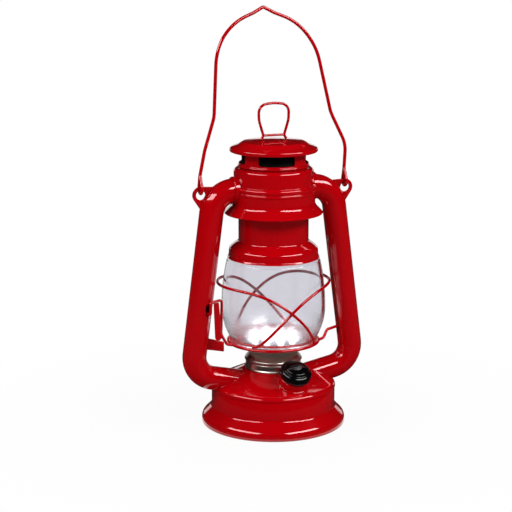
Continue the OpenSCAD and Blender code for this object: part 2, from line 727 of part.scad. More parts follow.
module cap() color(red)
    spun([[0, cap_z + cap_h], [6, cap_z + cap_h], [cap_r - 10.1, cap_z + cap_h - 1.3, 5],
        [cap_r - 6.1, cap_z + cap_h - 4.1, 4], [cap_r, cap_z + 3.2, 1.5], [cap_r, cap_z, 1.2],
        [cap_r - 2.2, cap_z]]);

// Wire loop with rounded shoulders, a crossbar and two splayed feet on the cap
module lifter_loop() color(red) {
    foot_z = cap_z + cap_h + 0.4;
    bar_z = foot_z + 3.2;
    high_z = foot_z + loop_h;
    leg = loop_foot_w / 2;
    half = [[leg + 1.8, 0, foot_z], [leg, 0, bar_z], [loop_w / 2, 0, bar_z + loop_h * 0.42],
        [loop_w / 2 + 0.2, 0, high_z - 1.6]];
    other = [for (p = half) [-p[0], 0, p[2]]];
    wire(concat(other, [[0, 0, high_z]], reversed(half)), [2, 20, 7, 30, 7, 20, 2], loop_d);
    rod([-leg, 0, bar_z], [leg, 0, bar_z], loop_d - 0.2);
}

// Bail: an eye round each ear's rim, drawn-in legs and a pointed peak, leaning back on its pivots

eye_r = 4;
eye_h = 10;
bail_w = ear_x;

// Bends of a leg from the eye up: share of the half width, then height and radius as shares of the height
bail_bends = [[0.978, 0.209, 0.167], [0.807, 0.394, 0.195], [0.692, 0.76, 0.181], [0.47, 0.911, 0.195],
    [0.144, 0.967, 0.125]];
bail_peak_r = 2;

// Sideways set of the bail at height v above its pivot
function bail_set(v) =
    let (low = bail_bends[0][1] * bail_h)
    v < low ? bail_set_low * max(v - eye_h, 0) / (low - eye_h)
    : bail_set_low + (bail_set_top - bail_set_low) * (v - low) / (bail_h - low);

function bail_leg(side) = [[side * bail_w, 0, eye_h], for (b = bail_bends)
    let (v = b[1] * bail_h) [side * b[0] * bail_w + bail_set(v), 0, v]];

module bail() color(red) translate([0, 0, pivot_z]) rotate([-bail_lean, 0, 0]) {
    radii = [for (b = bail_bends) b[2] * bail_h];
    wire(concat(bail_leg(-1), [[bail_set_top, 0, bail_h]], reversed(bail_leg(1))),
        concat(radii, [bail_peak_r], reversed(radii)), bail_d);
    for (side = [-1, 1]) translate([side * bail_w, 0, 0]) bail_eye();
}

// The wire's end, bent round the ear's rim and closed against the leg
module bail_eye() {
    a = acos(eye_r / eye_h);
    rotate([90, 0, 90]) rotate([0, 0, 90 + a]) rotate_extrude(angle = 360 - 2 * a)
        translate([eye_r, 0]) circle(d = bail_d + bend_swell);
    for (s = [-1, 1]) {
        from = [0, s * eye_r * sin(a), eye_r * cos(a)];
        rod(from - bend_lap * unit([0, 0, eye_h] - from), [0, 0, eye_h], bail_d);
    }
    translate([0, 0, eye_h]) sphere(d = bail_d + 0.3);
}

tank_body();
tank_top();
floor_plate();
battery_cover();
battery_tray();
front_cell();
rear_cell();
bridge_contact();
positive_contact();
negative_contact();
burner_collar();
led_pod();
led_board();
reflector();
leds();
dimmer_neck();
dimmer_pot();
dimmer_nut();
dimmer_shaft();
dimmer_knob();
left_tube();
right_tube();
left_ear();
right_ear();
lever_bracket();
hood();
globe();
globe_plate();
guard_ring();
left_guard_loop();
right_guard_loop();
guard_arm();
lift_rod();
lift_tongue();
bell();
vent_collar();
flue();
cap();
lifter_loop();
bail();
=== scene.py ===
from math import acos, atan, atan2, ceil, cos, degrees, exp, hypot, pi, radians, sin, sqrt, tan

import bmesh
import bpy
from mathutils import Matrix, Vector


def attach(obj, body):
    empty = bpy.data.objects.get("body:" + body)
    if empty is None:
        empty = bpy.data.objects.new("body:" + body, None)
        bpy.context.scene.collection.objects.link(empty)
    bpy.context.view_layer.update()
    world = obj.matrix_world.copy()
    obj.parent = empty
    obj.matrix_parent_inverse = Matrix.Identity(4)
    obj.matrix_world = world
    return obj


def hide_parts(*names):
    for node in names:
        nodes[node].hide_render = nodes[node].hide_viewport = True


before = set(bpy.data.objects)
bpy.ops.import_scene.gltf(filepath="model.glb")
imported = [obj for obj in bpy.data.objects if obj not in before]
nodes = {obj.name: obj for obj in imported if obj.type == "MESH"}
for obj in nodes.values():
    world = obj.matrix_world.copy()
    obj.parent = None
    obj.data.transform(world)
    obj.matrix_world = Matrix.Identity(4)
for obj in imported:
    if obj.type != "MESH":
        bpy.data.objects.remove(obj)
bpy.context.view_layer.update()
mm = 0.001
crease = 38  # degrees at which an edge starts to show as sharp
wireCrease = 50  # the same for wires, whose few sides meet at up to 36 degrees
print("frame loaded with", len(nodes), "solids")


# helpers for finishes, and for outlines, sheets and wires in millimetres

def hexToLinear(code):
    channels = [int(code[i:i + 2], 16) / 255 for i in (1, 3, 5)]
    return tuple(c / 12.92 if c <= 0.04045 else ((c + 0.055) / 1.055) ** 2.4 for c in channels) + (1.0,)


def addNode(tree, kind, settings, links):
    node = tree.nodes.new(kind)
    for key, value in settings.items():
        if isinstance(key, str) and hasattr(node, key):
            setattr(node, key, value)
        else:
            node.inputs[key].default_value = value
    for key, socket in links.items():
        tree.links.new(socket, node.inputs[key])
    return node


def startFinish(name, values):
    material = bpy.data.materials.new(name)
    material.use_nodes = True
    shader = material.node_tree.nodes["Principled BSDF"]
    for key, value in values.items():
        shader.inputs[key].default_value = value
    return material, material.node_tree, shader


def bendPoints(before, corner, after, radius, step=5):
    u, w = (before - corner).normalized(), (after - corner).normalized()
    half = acos(max(-1, min(1, u.dot(w)))) / 2
    centre = corner + (u + w).normalized() * radius / sin(half)
    first = corner + u * radius / tan(half) - centre
    last = corner + w * radius / tan(half) - centre
    turn = pi - 2 * half
    steps = max(2, ceil(turn / radians(step)))
    side = (last - first * cos(turn)) / sin(turn)
    return [centre + first * cos(turn * i / steps) + side * sin(turn * i / steps) for i in range(steps + 1)]


def bentPath(corners, radii, step=5):
    points = [Vector(c) for c in corners]
    path = [points[0]]
    for i in range(1, len(points) - 1):
        if radii[i - 1]:
            path += bendPoints(points[i - 1], points[i], points[i + 1], radii[i - 1], step)
        else:
            path.append(points[i])
    return path + [points[-1]]


def outline(corners, step=5):
    radii = [c[2] if len(c) > 2 else 0 for c in corners[1:-1]]
    return [(p.x, p.y) for p in bentPath([c[:2] for c in corners], radii, step)]


def beside(line, t):
    moved = []
    for i, p in enumerate(line):
        normals = []
        for a, b in ((i - 1, i), (i, i + 1)):
            if a >= 0 and b < len(line):
                dx, dz = line[b][0] - line[a][0], line[b][1] - line[a][1]
                size = hypot(dx, dz) or 1
                normals.append(Vector((dz / size, -dx / size)))
        n = sum(normals, Vector((0, 0))).normalized()
        reach = t / max(0.5, n.dot(normals[0]))
        moved.append((p[0] + n.x * reach, p[1] + n.y * reach))
    return moved


def sheetLoop(corners, t, step=5):
    line = outline(corners, step)
    return line + beside(line, t)[::-1]


def finishMesh(name, bm, sharp=crease):
    bmesh.ops.recalc_face_normals(bm, faces=bm.faces)
    mesh = bpy.data.meshes.new(name)
    bm.to_mesh(mesh)
    bm.free()
    mesh.shade_smooth()
    mesh.set_sharp_from_angle(angle=radians(sharp))
    piece = bpy.data.objects.new(name, mesh)
    bpy.context.scene.collection.objects.link(piece)
    return piece


def spinInto(bm, loop, segments, place=Matrix.Identity(4)):
    columns = []
    for i in range(segments):
        a = 2 * pi * i / segments
        column = []
        for j, (r, z) in enumerate(loop):
            if r < 1e-6 and i:
                column.append(columns[0][j])
            else:
                column.append(bm.verts.new(place @ Vector((r * cos(a) * mm, r * sin(a) * mm, z * mm))))
        columns.append(column)
    count = len(loop)
    for i in range(segments):
        here, there = columns[i], columns[(i + 1) % segments]
        for j in range(count):
            k = (j + 1) % count
            corners = [here[j], there[j], there[k], here[k]]
            face = [v for n, v in enumerate(corners) if v not in corners[:n]]
            if len(face) > 2:
                bm.faces.new(face)


def spun(name, loop, segments=192, place=Matrix.Identity(4), sharp=crease):
    bm = bmesh.new()
    spinInto(bm, loop, segments, place)
    return finishMesh(name, bm, sharp)


def sweepInto(bm, points, d, sides=16, inner=0, closed=False):
    count = len(points)
    tangents = []
    for i in range(count):
        if closed:
            a, b = points[i - 1], points[(i + 1) % count]
        else:
            a, b = points[max(i - 1, 0)], points[min(i + 1, count - 1)]
        tangents.append((b - a).normalized())
    start = Vector((0, 0, 1)) if abs(tangents[0].z) < 0.9 else Vector((0, 1, 0))
    normal = tangents[0].cross(start).normalized()
    frames = []
    for i in range(count):
        if i:
            normal = (tangents[i - 1].rotation_difference(tangents[i]) @ normal).normalized()
        frames.append((normal.copy(), tangents[i].cross(normal)))
    turns = [(cos(2 * pi * k / sides), sin(2 * pi * k / sides)) for k in range(sides)]
    walls = []
    for size in ([d, inner] if inner else [d]):
        rings = [[bm.verts.new((p + size / 2 * (c * n + s * m)) * mm) for c, s in turns]
                 for p, (n, m) in zip(points, frames)]
        for i in range(count if closed else count - 1):
            here, there = rings[i], rings[(i + 1) % count]
            for k in range(sides):
                q = (k + 1) % sides
                bm.faces.new((here[k], here[q], there[q], there[k]))
        walls.append(rings)
    if not closed:
        for end in (0, -1):
            if inner:
                for k in range(sides):
                    q = (k + 1) % sides
                    bm.faces.new((walls[0][end][k], walls[0][end][q], walls[1][end][q], walls[1][end][k]))
            else:
                bm.faces.new(walls[0][end])


def swept(name, points, d, sides=16, inner=0, closed=False):
    bm = bmesh.new()
    sweepInto(bm, points, d, sides, inner, closed)
    return finishMesh(name, bm, wireCrease)


def plate(name, loops, thickness, edge, place):
    curve = bpy.data.curves.new(name, "CURVE")
    curve.dimensions, curve.fill_mode = "2D", "BOTH"
    curve.extrude = (thickness / 2 - edge) * mm
    curve.bevel_depth, curve.offset, curve.bevel_resolution = edge * mm, -edge * mm, 3
    for loop in loops:
        spline = curve.splines.new("POLY")
        spline.points.add(len(loop) - 1)
        for point, (x, y) in zip(spline.points, loop):
            point.co = (x * mm, y * mm, 0, 1)
        spline.use_cyclic_u = True
    drawn = bpy.data.objects.new(name, curve)
    bpy.context.scene.collection.objects.link(drawn)
    depsgraph = bpy.context.evaluated_depsgraph_get()
    mesh = bpy.data.meshes.new_from_object(drawn.evaluated_get(depsgraph))
    bpy.data.objects.remove(drawn)
    mesh.transform(place)
    bm = bmesh.new()
    bm.from_mesh(mesh)
    bmesh.ops.remove_doubles(bm, verts=bm.verts, dist=1e-6)
    return finishMesh(name, bm, sharp=40)


def arcPoints(centre, r, first, last, step=6):
    steps = max(2, ceil(abs(last - first) / step))
    angles = [radians(first + (last - first) * i / steps) for i in range(steps + 1)]
    return [(centre[0] + r * cos(a), centre[1] + r * sin(a)) for a in angles]


def cutAway(piece, cutters):
    for cutter in cutters:
        cut = piece.modifiers.new("cut", "BOOLEAN")
        cut.object, cut.operation, cut.solver = cutter, "DIFFERENCE", "EXACT"
    depsgraph = bpy.context.evaluated_depsgraph_get()
    shaped = bpy.data.meshes.new_from_object(piece.evaluated_get(depsgraph))
    piece.modifiers.clear()
    piece.data = shaped
    shaped.shade_smooth()
    shaped.set_sharp_from_angle(angle=radians(crease))
    for cutter in cutters:
        bpy.data.objects.remove(cutter)


def settle(piece, body, finish, *replaced):
    piece.data.materials.clear()
    piece.data.materials.append(finish)
    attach(piece, body)
    if replaced:
        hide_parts(*replaced)


# camera at the photograph's place, a long lens a little above the lantern

view = {"place": (-420.9, -1173.1, 417.0), "towards": (0.3191, 0.9227, -0.2164), "sensorMm": 36,
        "focalPx": 1550, "widePx": 512}
camera = bpy.data.objects.new("camera", bpy.data.cameras.new("camera"))
camera.data.sensor_width = view["sensorMm"]
camera.data.lens = view["focalPx"] / view["widePx"] * view["sensorMm"]
camera.location = Vector(view["place"]) * mm
camera.rotation_euler = Vector(view["towards"]).to_track_quat("-Z", "Y").to_euler()
bpy.context.scene.collection.objects.link(camera)
bpy.context.scene.camera = camera
print("camera set")


# finishes; the finest grains, frosts, threads and brushed lines are drawn coarser than they are,
# so that they show

# stove enamel over pressed steel: deep glossy red, warm in its highlights, with the faint
# orange peel of sprayed and baked paint
enamel = {"colour": "#ae010b", "shade": "#a4000a", "cloudMm": 40, "peelMm": 4.0, "peelDepthMm": 0.006,
          "gloss": (0.09, 0.14), "tint": "#ff8a92", "coatTint": "#ffe6e8"}
enamelRed, tree, shader = startFinish("stoveEnamelRed", {
    "IOR": 1.5, "Specular Tint": hexToLinear(enamel["tint"]), "Coat Weight": 1.0, "Coat Roughness": 0.03,
    "Coat Tint": hexToLinear(enamel["coatTint"])})
where = addNode(tree, "ShaderNodeTexCoord", {}, {})
cloud = addNode(tree, "ShaderNodeTexNoise", {"Scale": 1000 / enamel["cloudMm"], "Detail": 3},
                {"Vector": where.outputs["Object"]})
tone = addNode(tree, "ShaderNodeMix", {"data_type": "RGBA", 6: hexToLinear(enamel["shade"]),
                                       7: hexToLinear(enamel["colour"])}, {"Factor": cloud.outputs["Fac"]})
tree.links.new(tone.outputs[2], shader.inputs["Base Color"])
gloss = addNode(tree, "ShaderNodeMapRange", {"To Min": enamel["gloss"][0], "To Max": enamel["gloss"][1]},
                {"Value": cloud.outputs["Fac"]})
tree.links.new(gloss.outputs["Result"], shader.inputs["Roughness"])
peel = addNode(tree, "ShaderNodeTexNoise", {"Scale": 1000 / enamel["peelMm"], "Detail": 2},
               {"Vector": where.outputs["Object"]})
bump = addNode(tree, "ShaderNodeBump", {"Strength": 0.35, "Distance": enamel["peelDepthMm"] * mm},
               {"Height": peel.outputs["Fac"]})
tree.links.new(bump.outputs["Normal"], shader.inputs["Normal"])

# satin spun steel: fine turned lines run round the collar and stretch the reflections upright
spunMetal = {"colour": "#d0c6bd", "shade": "#b8aca2", "lineMm": 0.35, "runMm": 50, "lineDepthMm": 0.01,
             "gloss": (0.26, 0.36)}
spunSteel, tree, shader = startFinish("satinSpunSteel", {"Metallic": 1.0, "Anisotropic": 0.5})
where = addNode(tree, "ShaderNodeTexCoord", {}, {})
run = 1000 / spunMetal["runMm"]
stretch = addNode(tree, "ShaderNodeMapping", {"Scale": (run, run, 1000 / spunMetal["lineMm"])},
                  {"Vector": where.outputs["Object"]})
lines = addNode(tree, "ShaderNodeTexNoise", {"Scale": 1.0, "Detail": 2},
                {"Vector": stretch.outputs["Vector"]})
tone = addNode(tree, "ShaderNodeMix", {"data_type": "RGBA", 6: hexToLinear(spunMetal["shade"]),
                                       7: hexToLinear(spunMetal["colour"])},
               {"Factor": lines.outputs["Fac"]})
tree.links.new(tone.outputs[2], shader.inputs["Base Color"])
dull = addNode(tree, "ShaderNodeMapRange",
               {"To Min": spunMetal["gloss"][0], "To Max": spunMetal["gloss"][1]},
               {"Value": lines.outputs["Fac"]})
tree.links.new(dull.outputs["Result"], shader.inputs["Roughness"])
bump = addNode(tree, "ShaderNodeBump", {"Strength": 0.3, "Distance": spunMetal["lineDepthMm"] * mm},
               {"Height": lines.outputs["Fac"]})
tree.links.new(bump.outputs["Normal"], shader.inputs["Normal"])
around = addNode(tree, "ShaderNodeTangent", {"direction_type": "RADIAL", "axis": "Z"}, {})
tree.links.new(around.outputs["Tangent"], shader.inputs["Tangent"])

# pressed soda glass: clear with a cool grey cast, slow waves in the wall that bend what is seen
# through it, and a frosted foot that spreads the light of the lamps inside into a soft glow;
# frost gives heights in millimetres, each with its roughness
glass = {"colour": "#e9e8ed", "waveMm": 22, "waveDepthMm": 0.05,
         "frost": [(72, 0.04), (84, 0.36), (101, 0.0)]}
sodaGlass, tree, shader = startFinish("pressedSodaGlass", {
    "Base Color": hexToLinear(glass["colour"]), "IOR": 1.5, "Transmission Weight": 1.0})
where = addNode(tree, "ShaderNodeTexCoord", {}, {})
apart = addNode(tree, "ShaderNodeSeparateXYZ", {}, {"Vector": where.outputs["Object"]})
slopes = []
for low, high in zip(glass["frost"], glass["frost"][1:]):
    slopes.append(addNode(tree, "ShaderNodeMapRange", {"From Min": low[0] * mm, "From Max": high[0] * mm,
                                                       "To Min": low[1], "To Max": high[1]},
                          {"Value": apart.outputs["Z"]}))
frosted = addNode(tree, "ShaderNodeMath", {"operation": "MINIMUM"},
                  {0: slopes[0].outputs["Result"], 1: slopes[1].outputs["Result"]})
tree.links.new(frosted.outputs["Value"], shader.inputs["Roughness"])
wave = addNode(tree, "ShaderNodeTexNoise", {"Scale": 1000 / glass["waveMm"], "Detail": 1},
               {"Vector": where.outputs["Object"]})
bump = addNode(tree, "ShaderNodeBump", {"Strength": 0.5, "Distance": glass["waveDepthMm"] * mm},
               {"Height": wave.outputs["Fac"]})
tree.links.new(bump.outputs["Normal"], shader.inputs["Normal"])

# polished black phenolic: near black, with bright crescents where the mould was buffed
phenolic = {"colour": "#050506", "grainMm": 1.2, "gloss": (0.06, 0.12)}
knobBlack, tree, shader = startFinish("polishedPhenolicBlack", {
    "Base Color": hexToLinear(phenolic["colour"]), "IOR": 1.5})
where = addNode(tree, "ShaderNodeTexCoord", {}, {})
grain = addNode(tree, "ShaderNodeTexNoise", {"Scale": 1000 / phenolic["grainMm"], "Detail": 3},
                {"Vector": where.outputs["Object"]})
gloss = addNode(tree, "ShaderNodeMapRange",
                {"To Min": phenolic["gloss"][0], "To Max": phenolic["gloss"][1]},
                {"Value": grain.outputs["Fac"]})
tree.links.new(gloss.outputs["Result"], shader.inputs["Roughness"])
bump = addNode(tree, "ShaderNodeBump", {"Strength": 0.2, "Distance": 0.02 * mm},
               {"Height": grain.outputs["Fac"]})
tree.links.new(bump.outputs["Normal"], shader.inputs["Normal"])

# moulded ABS with a spark-eroded grain: dull black that catches light in fine specks
absGrain = {"colour": "#161617", "grainMm": 0.6, "gloss": (0.42, 0.6)}
mouldedAbs, tree, shader = startFinish("mouldedAbsBlack", {
    "Base Color": hexToLinear(absGrain["colour"]), "IOR": 1.52})
where = addNode(tree, "ShaderNodeTexCoord", {}, {})
grain = addNode(tree, "ShaderNodeTexVoronoi", {"Scale": 1000 / absGrain["grainMm"]},
                {"Vector": where.outputs["Object"]})
gloss = addNode(tree, "ShaderNodeMapRange",
                {"To Min": absGrain["gloss"][0], "To Max": absGrain["gloss"][1]},
                {"Value": grain.outputs["Distance"]})
tree.links.new(gloss.outputs["Result"], shader.inputs["Roughness"])
bump = addNode(tree, "ShaderNodeBump", {"Strength": 0.4, "Distance": 0.04 * mm},
               {"Height": grain.outputs["Distance"]})
tree.links.new(bump.outputs["Normal"], shader.inputs["Normal"])

# ivory lacquer over the steel of the pod: pale and nearly matt, and mirrored as a soft grey in
# the collar below it
lacquer = {"colour": "#dcd6cf", "shade": "#d3ccc4", "cloudMm": 12, "peelMm": 1.2, "gloss": (0.4, 0.55)}
ivoryLacquer, tree, shader = startFinish("ivoryLacquerOverSteel", {"IOR": 1.5})
where = addNode(tree, "ShaderNodeTexCoord", {}, {})
cloud = addNode(tree, "ShaderNodeTexNoise", {"Scale": 1000 / lacquer["cloudMm"], "Detail": 3},
                {"Vector": where.outputs["Object"]})
tone = addNode(tree, "ShaderNodeMix", {"data_type": "RGBA", 6: hexToLinear(lacquer["shade"]),
                                       7: hexToLinear(lacquer["colour"])}, {"Factor": cloud.outputs["Fac"]})
tree.links.new(tone.outputs[2], shader.inputs["Base Color"])
gloss = addNode(tree, "ShaderNodeMapRange", {"To Min": lacquer["gloss"][0], "To Max": lacquer["gloss"][1]},
                {"Value": cloud.outputs["Fac"]})
tree.links.new(gloss.outputs["Result"], shader.inputs["Roughness"])
peel = addNode(tree, "ShaderNodeTexNoise", {"Scale": 1000 / lacquer["peelMm"], "Detail": 2},
               {"Vector": where.outputs["Object"]})
bump = addNode(tree, "ShaderNodeBump", {"Strength": 0.3, "Distance": 0.02 * mm},
               {"Height": peel.outputs["Fac"]})
tree.links.new(bump.outputs["Normal"], shader.inputs["Normal"])

# epoxy lens of a white LED: finely frosted, with the inner ring lit a little above paper white
# and the outer ring the same lens painted dark grey with no light of its own, as painted shade
lens = {"colour": ("#ffffff", "#6f7176"), "glow": (1.25, 0.0), "frostMm": 1.0}
lenses = []
for name, colour, strength in zip(("litLedEpoxy", "shadedLedEpoxy"), lens["colour"], lens["glow"]):
    finish, tree, shader = startFinish(name, {
        "Base Color": hexToLinear(colour), "Roughness": 0.15, "IOR": 1.54,
        "Emission Color": hexToLinear(colour), "Emission Strength": strength})
    where = addNode(tree, "ShaderNodeTexCoord", {}, {})
    frost = addNode(tree, "ShaderNodeTexNoise", {"Scale": 1000 / lens["frostMm"], "Detail": 2},
                    {"Vector": where.outputs["Object"]})
    bump = addNode(tree, "ShaderNodeBump", {"Strength": 0.1, "Distance": 0.02 * mm},
                   {"Height": frost.outputs["Fac"]})
    tree.links.new(bump.outputs["Normal"], shader.inputs["Normal"])
    lenses.append(finish)
ledLens, shadedLedLens = lenses

# silvered reflector: a soft grey mirror with the slight ripple of vacuum plating over plastic
silver = {"colour": "#85868b", "rippleMm": 6}
silverPlate, tree, shader = startFinish("vacuumSilverPlate", {
    "Base Color": hexToLinear(silver["colour"]), "Metallic": 1.0, "Roughness": 0.3})
where = addNode(tree, "ShaderNodeTexCoord", {}, {})
ripple = addNode(tree, "ShaderNodeTexNoise", {"Scale": 1000 / silver["rippleMm"], "Detail": 2},
                 {"Vector": where.outputs["Object"]})
bump = addNode(tree, "ShaderNodeBump", {"Strength": 0.5, "Distance": 0.08 * mm},
               {"Height": ripple.outputs["Fac"]})
tree.links.new(bump.outputs["Normal"], shader.inputs["Normal"])

# white solder resist on a circuit board: slightly glossy, with faint bands of the glass cloth below,
# drawn far wider than its threads
resist = {"colour": "#eef0ee", "shade": "#e2e5e2", "bandMm": 8.8}
boardWhite, tree, shader = startFinish("whiteSolderResist", {"Roughness": 0.35, "IOR": 1.5})
where = addNode(tree, "ShaderNodeTexCoord", {}, {})
pace = 1000 / resist["bandMm"] * 2 * pi / 20  # the wave node runs 20 radians to a unit
weave = addNode(tree, "ShaderNodeTexWave", {"Scale": pace, "Distortion": 1.0},
                {"Vector": where.outputs["Object"]})
tone = addNode(tree, "ShaderNodeMix", {"data_type": "RGBA", 6: hexToLinear(resist["shade"]),
                                       7: hexToLinear(resist["colour"])}, {"Factor": weave.outputs["Fac"]})
tree.links.new(tone.outputs[2], shader.inputs["Base Color"])

# nickel plate on pressed contacts: warm grey metal with faint rolling lines
nickel = {"colour": "#b9b3a6", "lineMm": 0.5, "runMm": 33.3, "gloss": (0.22, 0.4)}
nickelPlate, tree, shader = startFinish("nickelPlatedSteel", {
    "Base Color": hexToLinear(nickel["colour"]), "Metallic": 1.0})
where = addNode(tree, "ShaderNodeTexCoord", {}, {})
run = 1000 / nickel["runMm"]
stretch = addNode(tree, "ShaderNodeMapping", {"Scale": (run, 1000 / nickel["lineMm"], run)},
                  {"Vector": where.outputs["Object"]})
lines = addNode(tree, "ShaderNodeTexNoise", {"Scale": 1.0, "Detail": 2},
                {"Vector": stretch.outputs["Vector"]})
dull = addNode(tree, "ShaderNodeMapRange", {"To Min": nickel["gloss"][0], "To Max": nickel["gloss"][1]},
               {"Value": lines.outputs["Fac"]})
tree.links.new(dull.outputs["Result"], shader.inputs["Roughness"])

# foil jacket of a dry cell: brushed gold film with a black band towards the flat end
jacket = {"colour": "#b98a34", "band": "#1a1a1a", "bandMm": 16, "lineMm": 0.4, "runMm": 33.3,
          "gloss": (0.24, 0.42)}
cellFoil, tree, shader = startFinish("dryCellFoil", {"Metallic": 0.8})
where = addNode(tree, "ShaderNodeTexCoord", {}, {})
axes = addNode(tree, "ShaderNodeSeparateXYZ", {}, {"Vector": where.outputs["Object"]})
front = addNode(tree, "ShaderNodeMath", {"operation": "SIGN"}, {0: axes.outputs["Y"]})
along = addNode(tree, "ShaderNodeMath", {"operation": "MULTIPLY"},
                {0: axes.outputs["X"], 1: front.outputs["Value"]})
band = addNode(tree, "ShaderNodeMath", {"operation": "GREATER_THAN", 1: jacket["bandMm"] * mm},
               {0: along.outputs["Value"]})
tone = addNode(tree, "ShaderNodeMix", {"data_type": "RGBA", 6: hexToLinear(jacket["colour"]),
                                       7: hexToLinear(jacket["band"])}, {"Factor": band.outputs["Value"]})
tree.links.new(tone.outputs[2], shader.inputs["Base Color"])
run = 1000 / jacket["runMm"]
stretch = addNode(tree, "ShaderNodeMapping", {"Scale": (1000 / jacket["lineMm"], run, run)},
                  {"Vector": where.outputs["Object"]})
lines = addNode(tree, "ShaderNodeTexNoise", {"Scale": 1.0, "Detail": 2},
                {"Vector": stretch.outputs["Vector"]})
dull = addNode(tree, "ShaderNodeMapRange", {"To Min": jacket["gloss"][0], "To Max": jacket["gloss"][1]},
               {"Value": lines.outputs["Fac"]})
tree.links.new(dull.outputs["Result"], shader.inputs["Roughness"])

# painted shade inside the chimney: the flue is drawn near black for the dark within it, matt with a dry
# powdery surface
flueShade = {"colour": "#020202", "shade": "#060606", "grainMm": 0.8}
flueShadePaint, tree, shader = startFinish("paintedShadeFlueBlack", {
    "Roughness": 0.75, "IOR": 1.5, "Specular IOR Level": 0.2})
where = addNode(tree, "ShaderNodeTexCoord", {}, {})
grain = addNode(tree, "ShaderNodeTexNoise", {"Scale": 1000 / flueShade["grainMm"], "Detail": 4},
                {"Vector": where.outputs["Object"]})
tone = addNode(tree, "ShaderNodeMix", {"data_type": "RGBA", 6: hexToLinear(flueShade["colour"]),
                                       7: hexToLinear(flueShade["shade"])}, {"Factor": grain.outputs["Fac"]})
tree.links.new(tone.outputs[2], shader.inputs["Base Color"])
bump = addNode(tree, "ShaderNodeBump", {"Strength": 0.4, "Distance": 0.05 * mm},
               {"Height": grain.outputs["Fac"]})
tree.links.new(bump.outputs["Normal"], shader.inputs["Normal"])
print("finishes mixed")


# tank: flared foot, joggled wall and conical top

tank = {"sheet": 0.8,
        "foot": [(51.05, 31.7), (51.05, 31.0), (51.5, 30.3), (51.5, 14.6, 3.5), (60, 6.2, 7), (60, 0, 1.5),
                 (55, 0)],
        "top": [(18, 46.6), (24.6, 46.6, 1), (50, 34.6, 5), (51.9, 32.7, 3), (51.9, 31.2)]}
tankFoot = spun("tankFoot", sheetLoop(tank["foot"], tank["sheet"]))
settle(tankFoot, "lantern", enamelRed, "tank_body")
tankTop = spun("tankTop", sheetLoop(tank["top"], tank["sheet"]))
settle(tankTop, "lantern", enamelRed, "tank_top")

coneIn, coneOut = tank["top"][1], tank["top"][2]
coneSlope = (coneIn[1] - coneOut[1]) / (coneOut[0] - coneIn[0])
coneTilt = atan(coneSlope)


def coneHeight(r):
    return coneOut[1] + (coneOut[0] - r) * coneSlope


# spun collar that the pod stands in

collar = {"sheet": 0.8, "side": [(13.45, 62.3), (20.5, 59.0, 5), (23.4, 55.6, 3), (24.1, 53.9, 0.9),
                                 (22.4, 52.9, 0.6), (23, 52.2, 1.1), (23, 48.4, 0.8), (23.6, 47.3)]}
burnerCollar = spun("burnerCollar", sheetLoop(collar["side"], collar["sheet"], 4))
settle(burnerCollar, "lantern", spunSteel, "burner_collar")

# LED pod, its reflector and the lit lenses

pod = {"sheet": 0.8, "cup": [(12.95, 65.2), (26.8, 65.2, 1), (26.8, 68.7)],
       "neck": [(12.2, 56.2), (13, 56.2), (13, 65.6), (12.2, 65.6)],
       "ledge": [(26.4, 67.4), (29.2, 67.4), (29.2, 68.3), (26.4, 68.3)]}
bm = bmesh.new()
spinInto(bm, sheetLoop(pod["cup"], -pod["sheet"]), 160)
spinInto(bm, pod["neck"], 96)
spinInto(bm, pod["ledge"], 160)
settle(finishMesh("ledPod", bm), "lantern", ivoryLacquer, "led_pod")

dish = {"sheet": 0.6, "side": [(0, 69.3), (22.8, 69.3, 2), (25.6, 71.6)]}
settle(spun("reflector", sheetLoop(dish["side"], dish["sheet"]), 160), "lantern", silverPlate, "reflector")

# each ring has its radius, its count and its turn as a share of one step
lamps = {"rings": [(8.04, 5, 0.0), (18.76, 10, 0.5)], "low": 67.6, "high": 76.2, "r": 2.5, "flangeR": 2.9,
         "flangeHigh": 1}
dome = arcPoints((0, lamps["high"] - lamps["r"]), lamps["r"], 0, 80, 10)
low, flangeTop = lamps["low"], lamps["low"] + lamps["flangeHigh"]
lensSide = [(0, low), (lamps["flangeR"], low), (lamps["flangeR"], flangeTop), (lamps["r"], flangeTop)]
lensSide += dome + [(0, lamps["high"])]
bm = bmesh.new()
for slot, (r, count, shift) in enumerate(lamps["rings"]):
    before = len(bm.faces)
    for i in range(count):
        a = 2 * pi * (i + shift) / count
        spinInto(bm, lensSide, 24, Matrix.Translation((r * cos(a) * mm, r * sin(a) * mm, 0)))
    for face in list(bm.faces)[before:]:
        face.material_index = slot
ledLamps = finishMesh("ledLamps", bm)
settle(ledLamps, "lantern", ledLens, "leds")
# the outer ring takes the grey copy of the lens, which is painted shade
ledLamps.data.materials.append(shadedLedLens)
print("tank and burner made")


# dimmer: a short neck square to the cone, and a stepped knob with fine ribs round its skirt

dimmer = {"r": 36.3, "turn": -83.5, "knobLow": 7.8,
          "neck": [(10.9, -5), (12.8, -5), (12.8, 0.95, 0.5), (11.9, 1.1, 0.15), (11.9, 7.2, 0.8), (4, 7.2),
                   (4, 6.3), (10.9, 6.3), (10.9, -5)]}
dimmerPlace = Matrix.Rotation(radians(dimmer["turn"]), 4, "Z") \
    @ Matrix.Translation((dimmer["r"] * mm, 0, coneHeight(dimmer["r"]) * mm)) \
    @ Matrix.Rotation(coneTilt, 4, "Y")
dimmerNeck = spun("dimmerNeck", outline(dimmer["neck"])[:-1], 128, dimmerPlace)
settle(dimmerNeck, "lantern", enamelRed, "dimmer_neck")

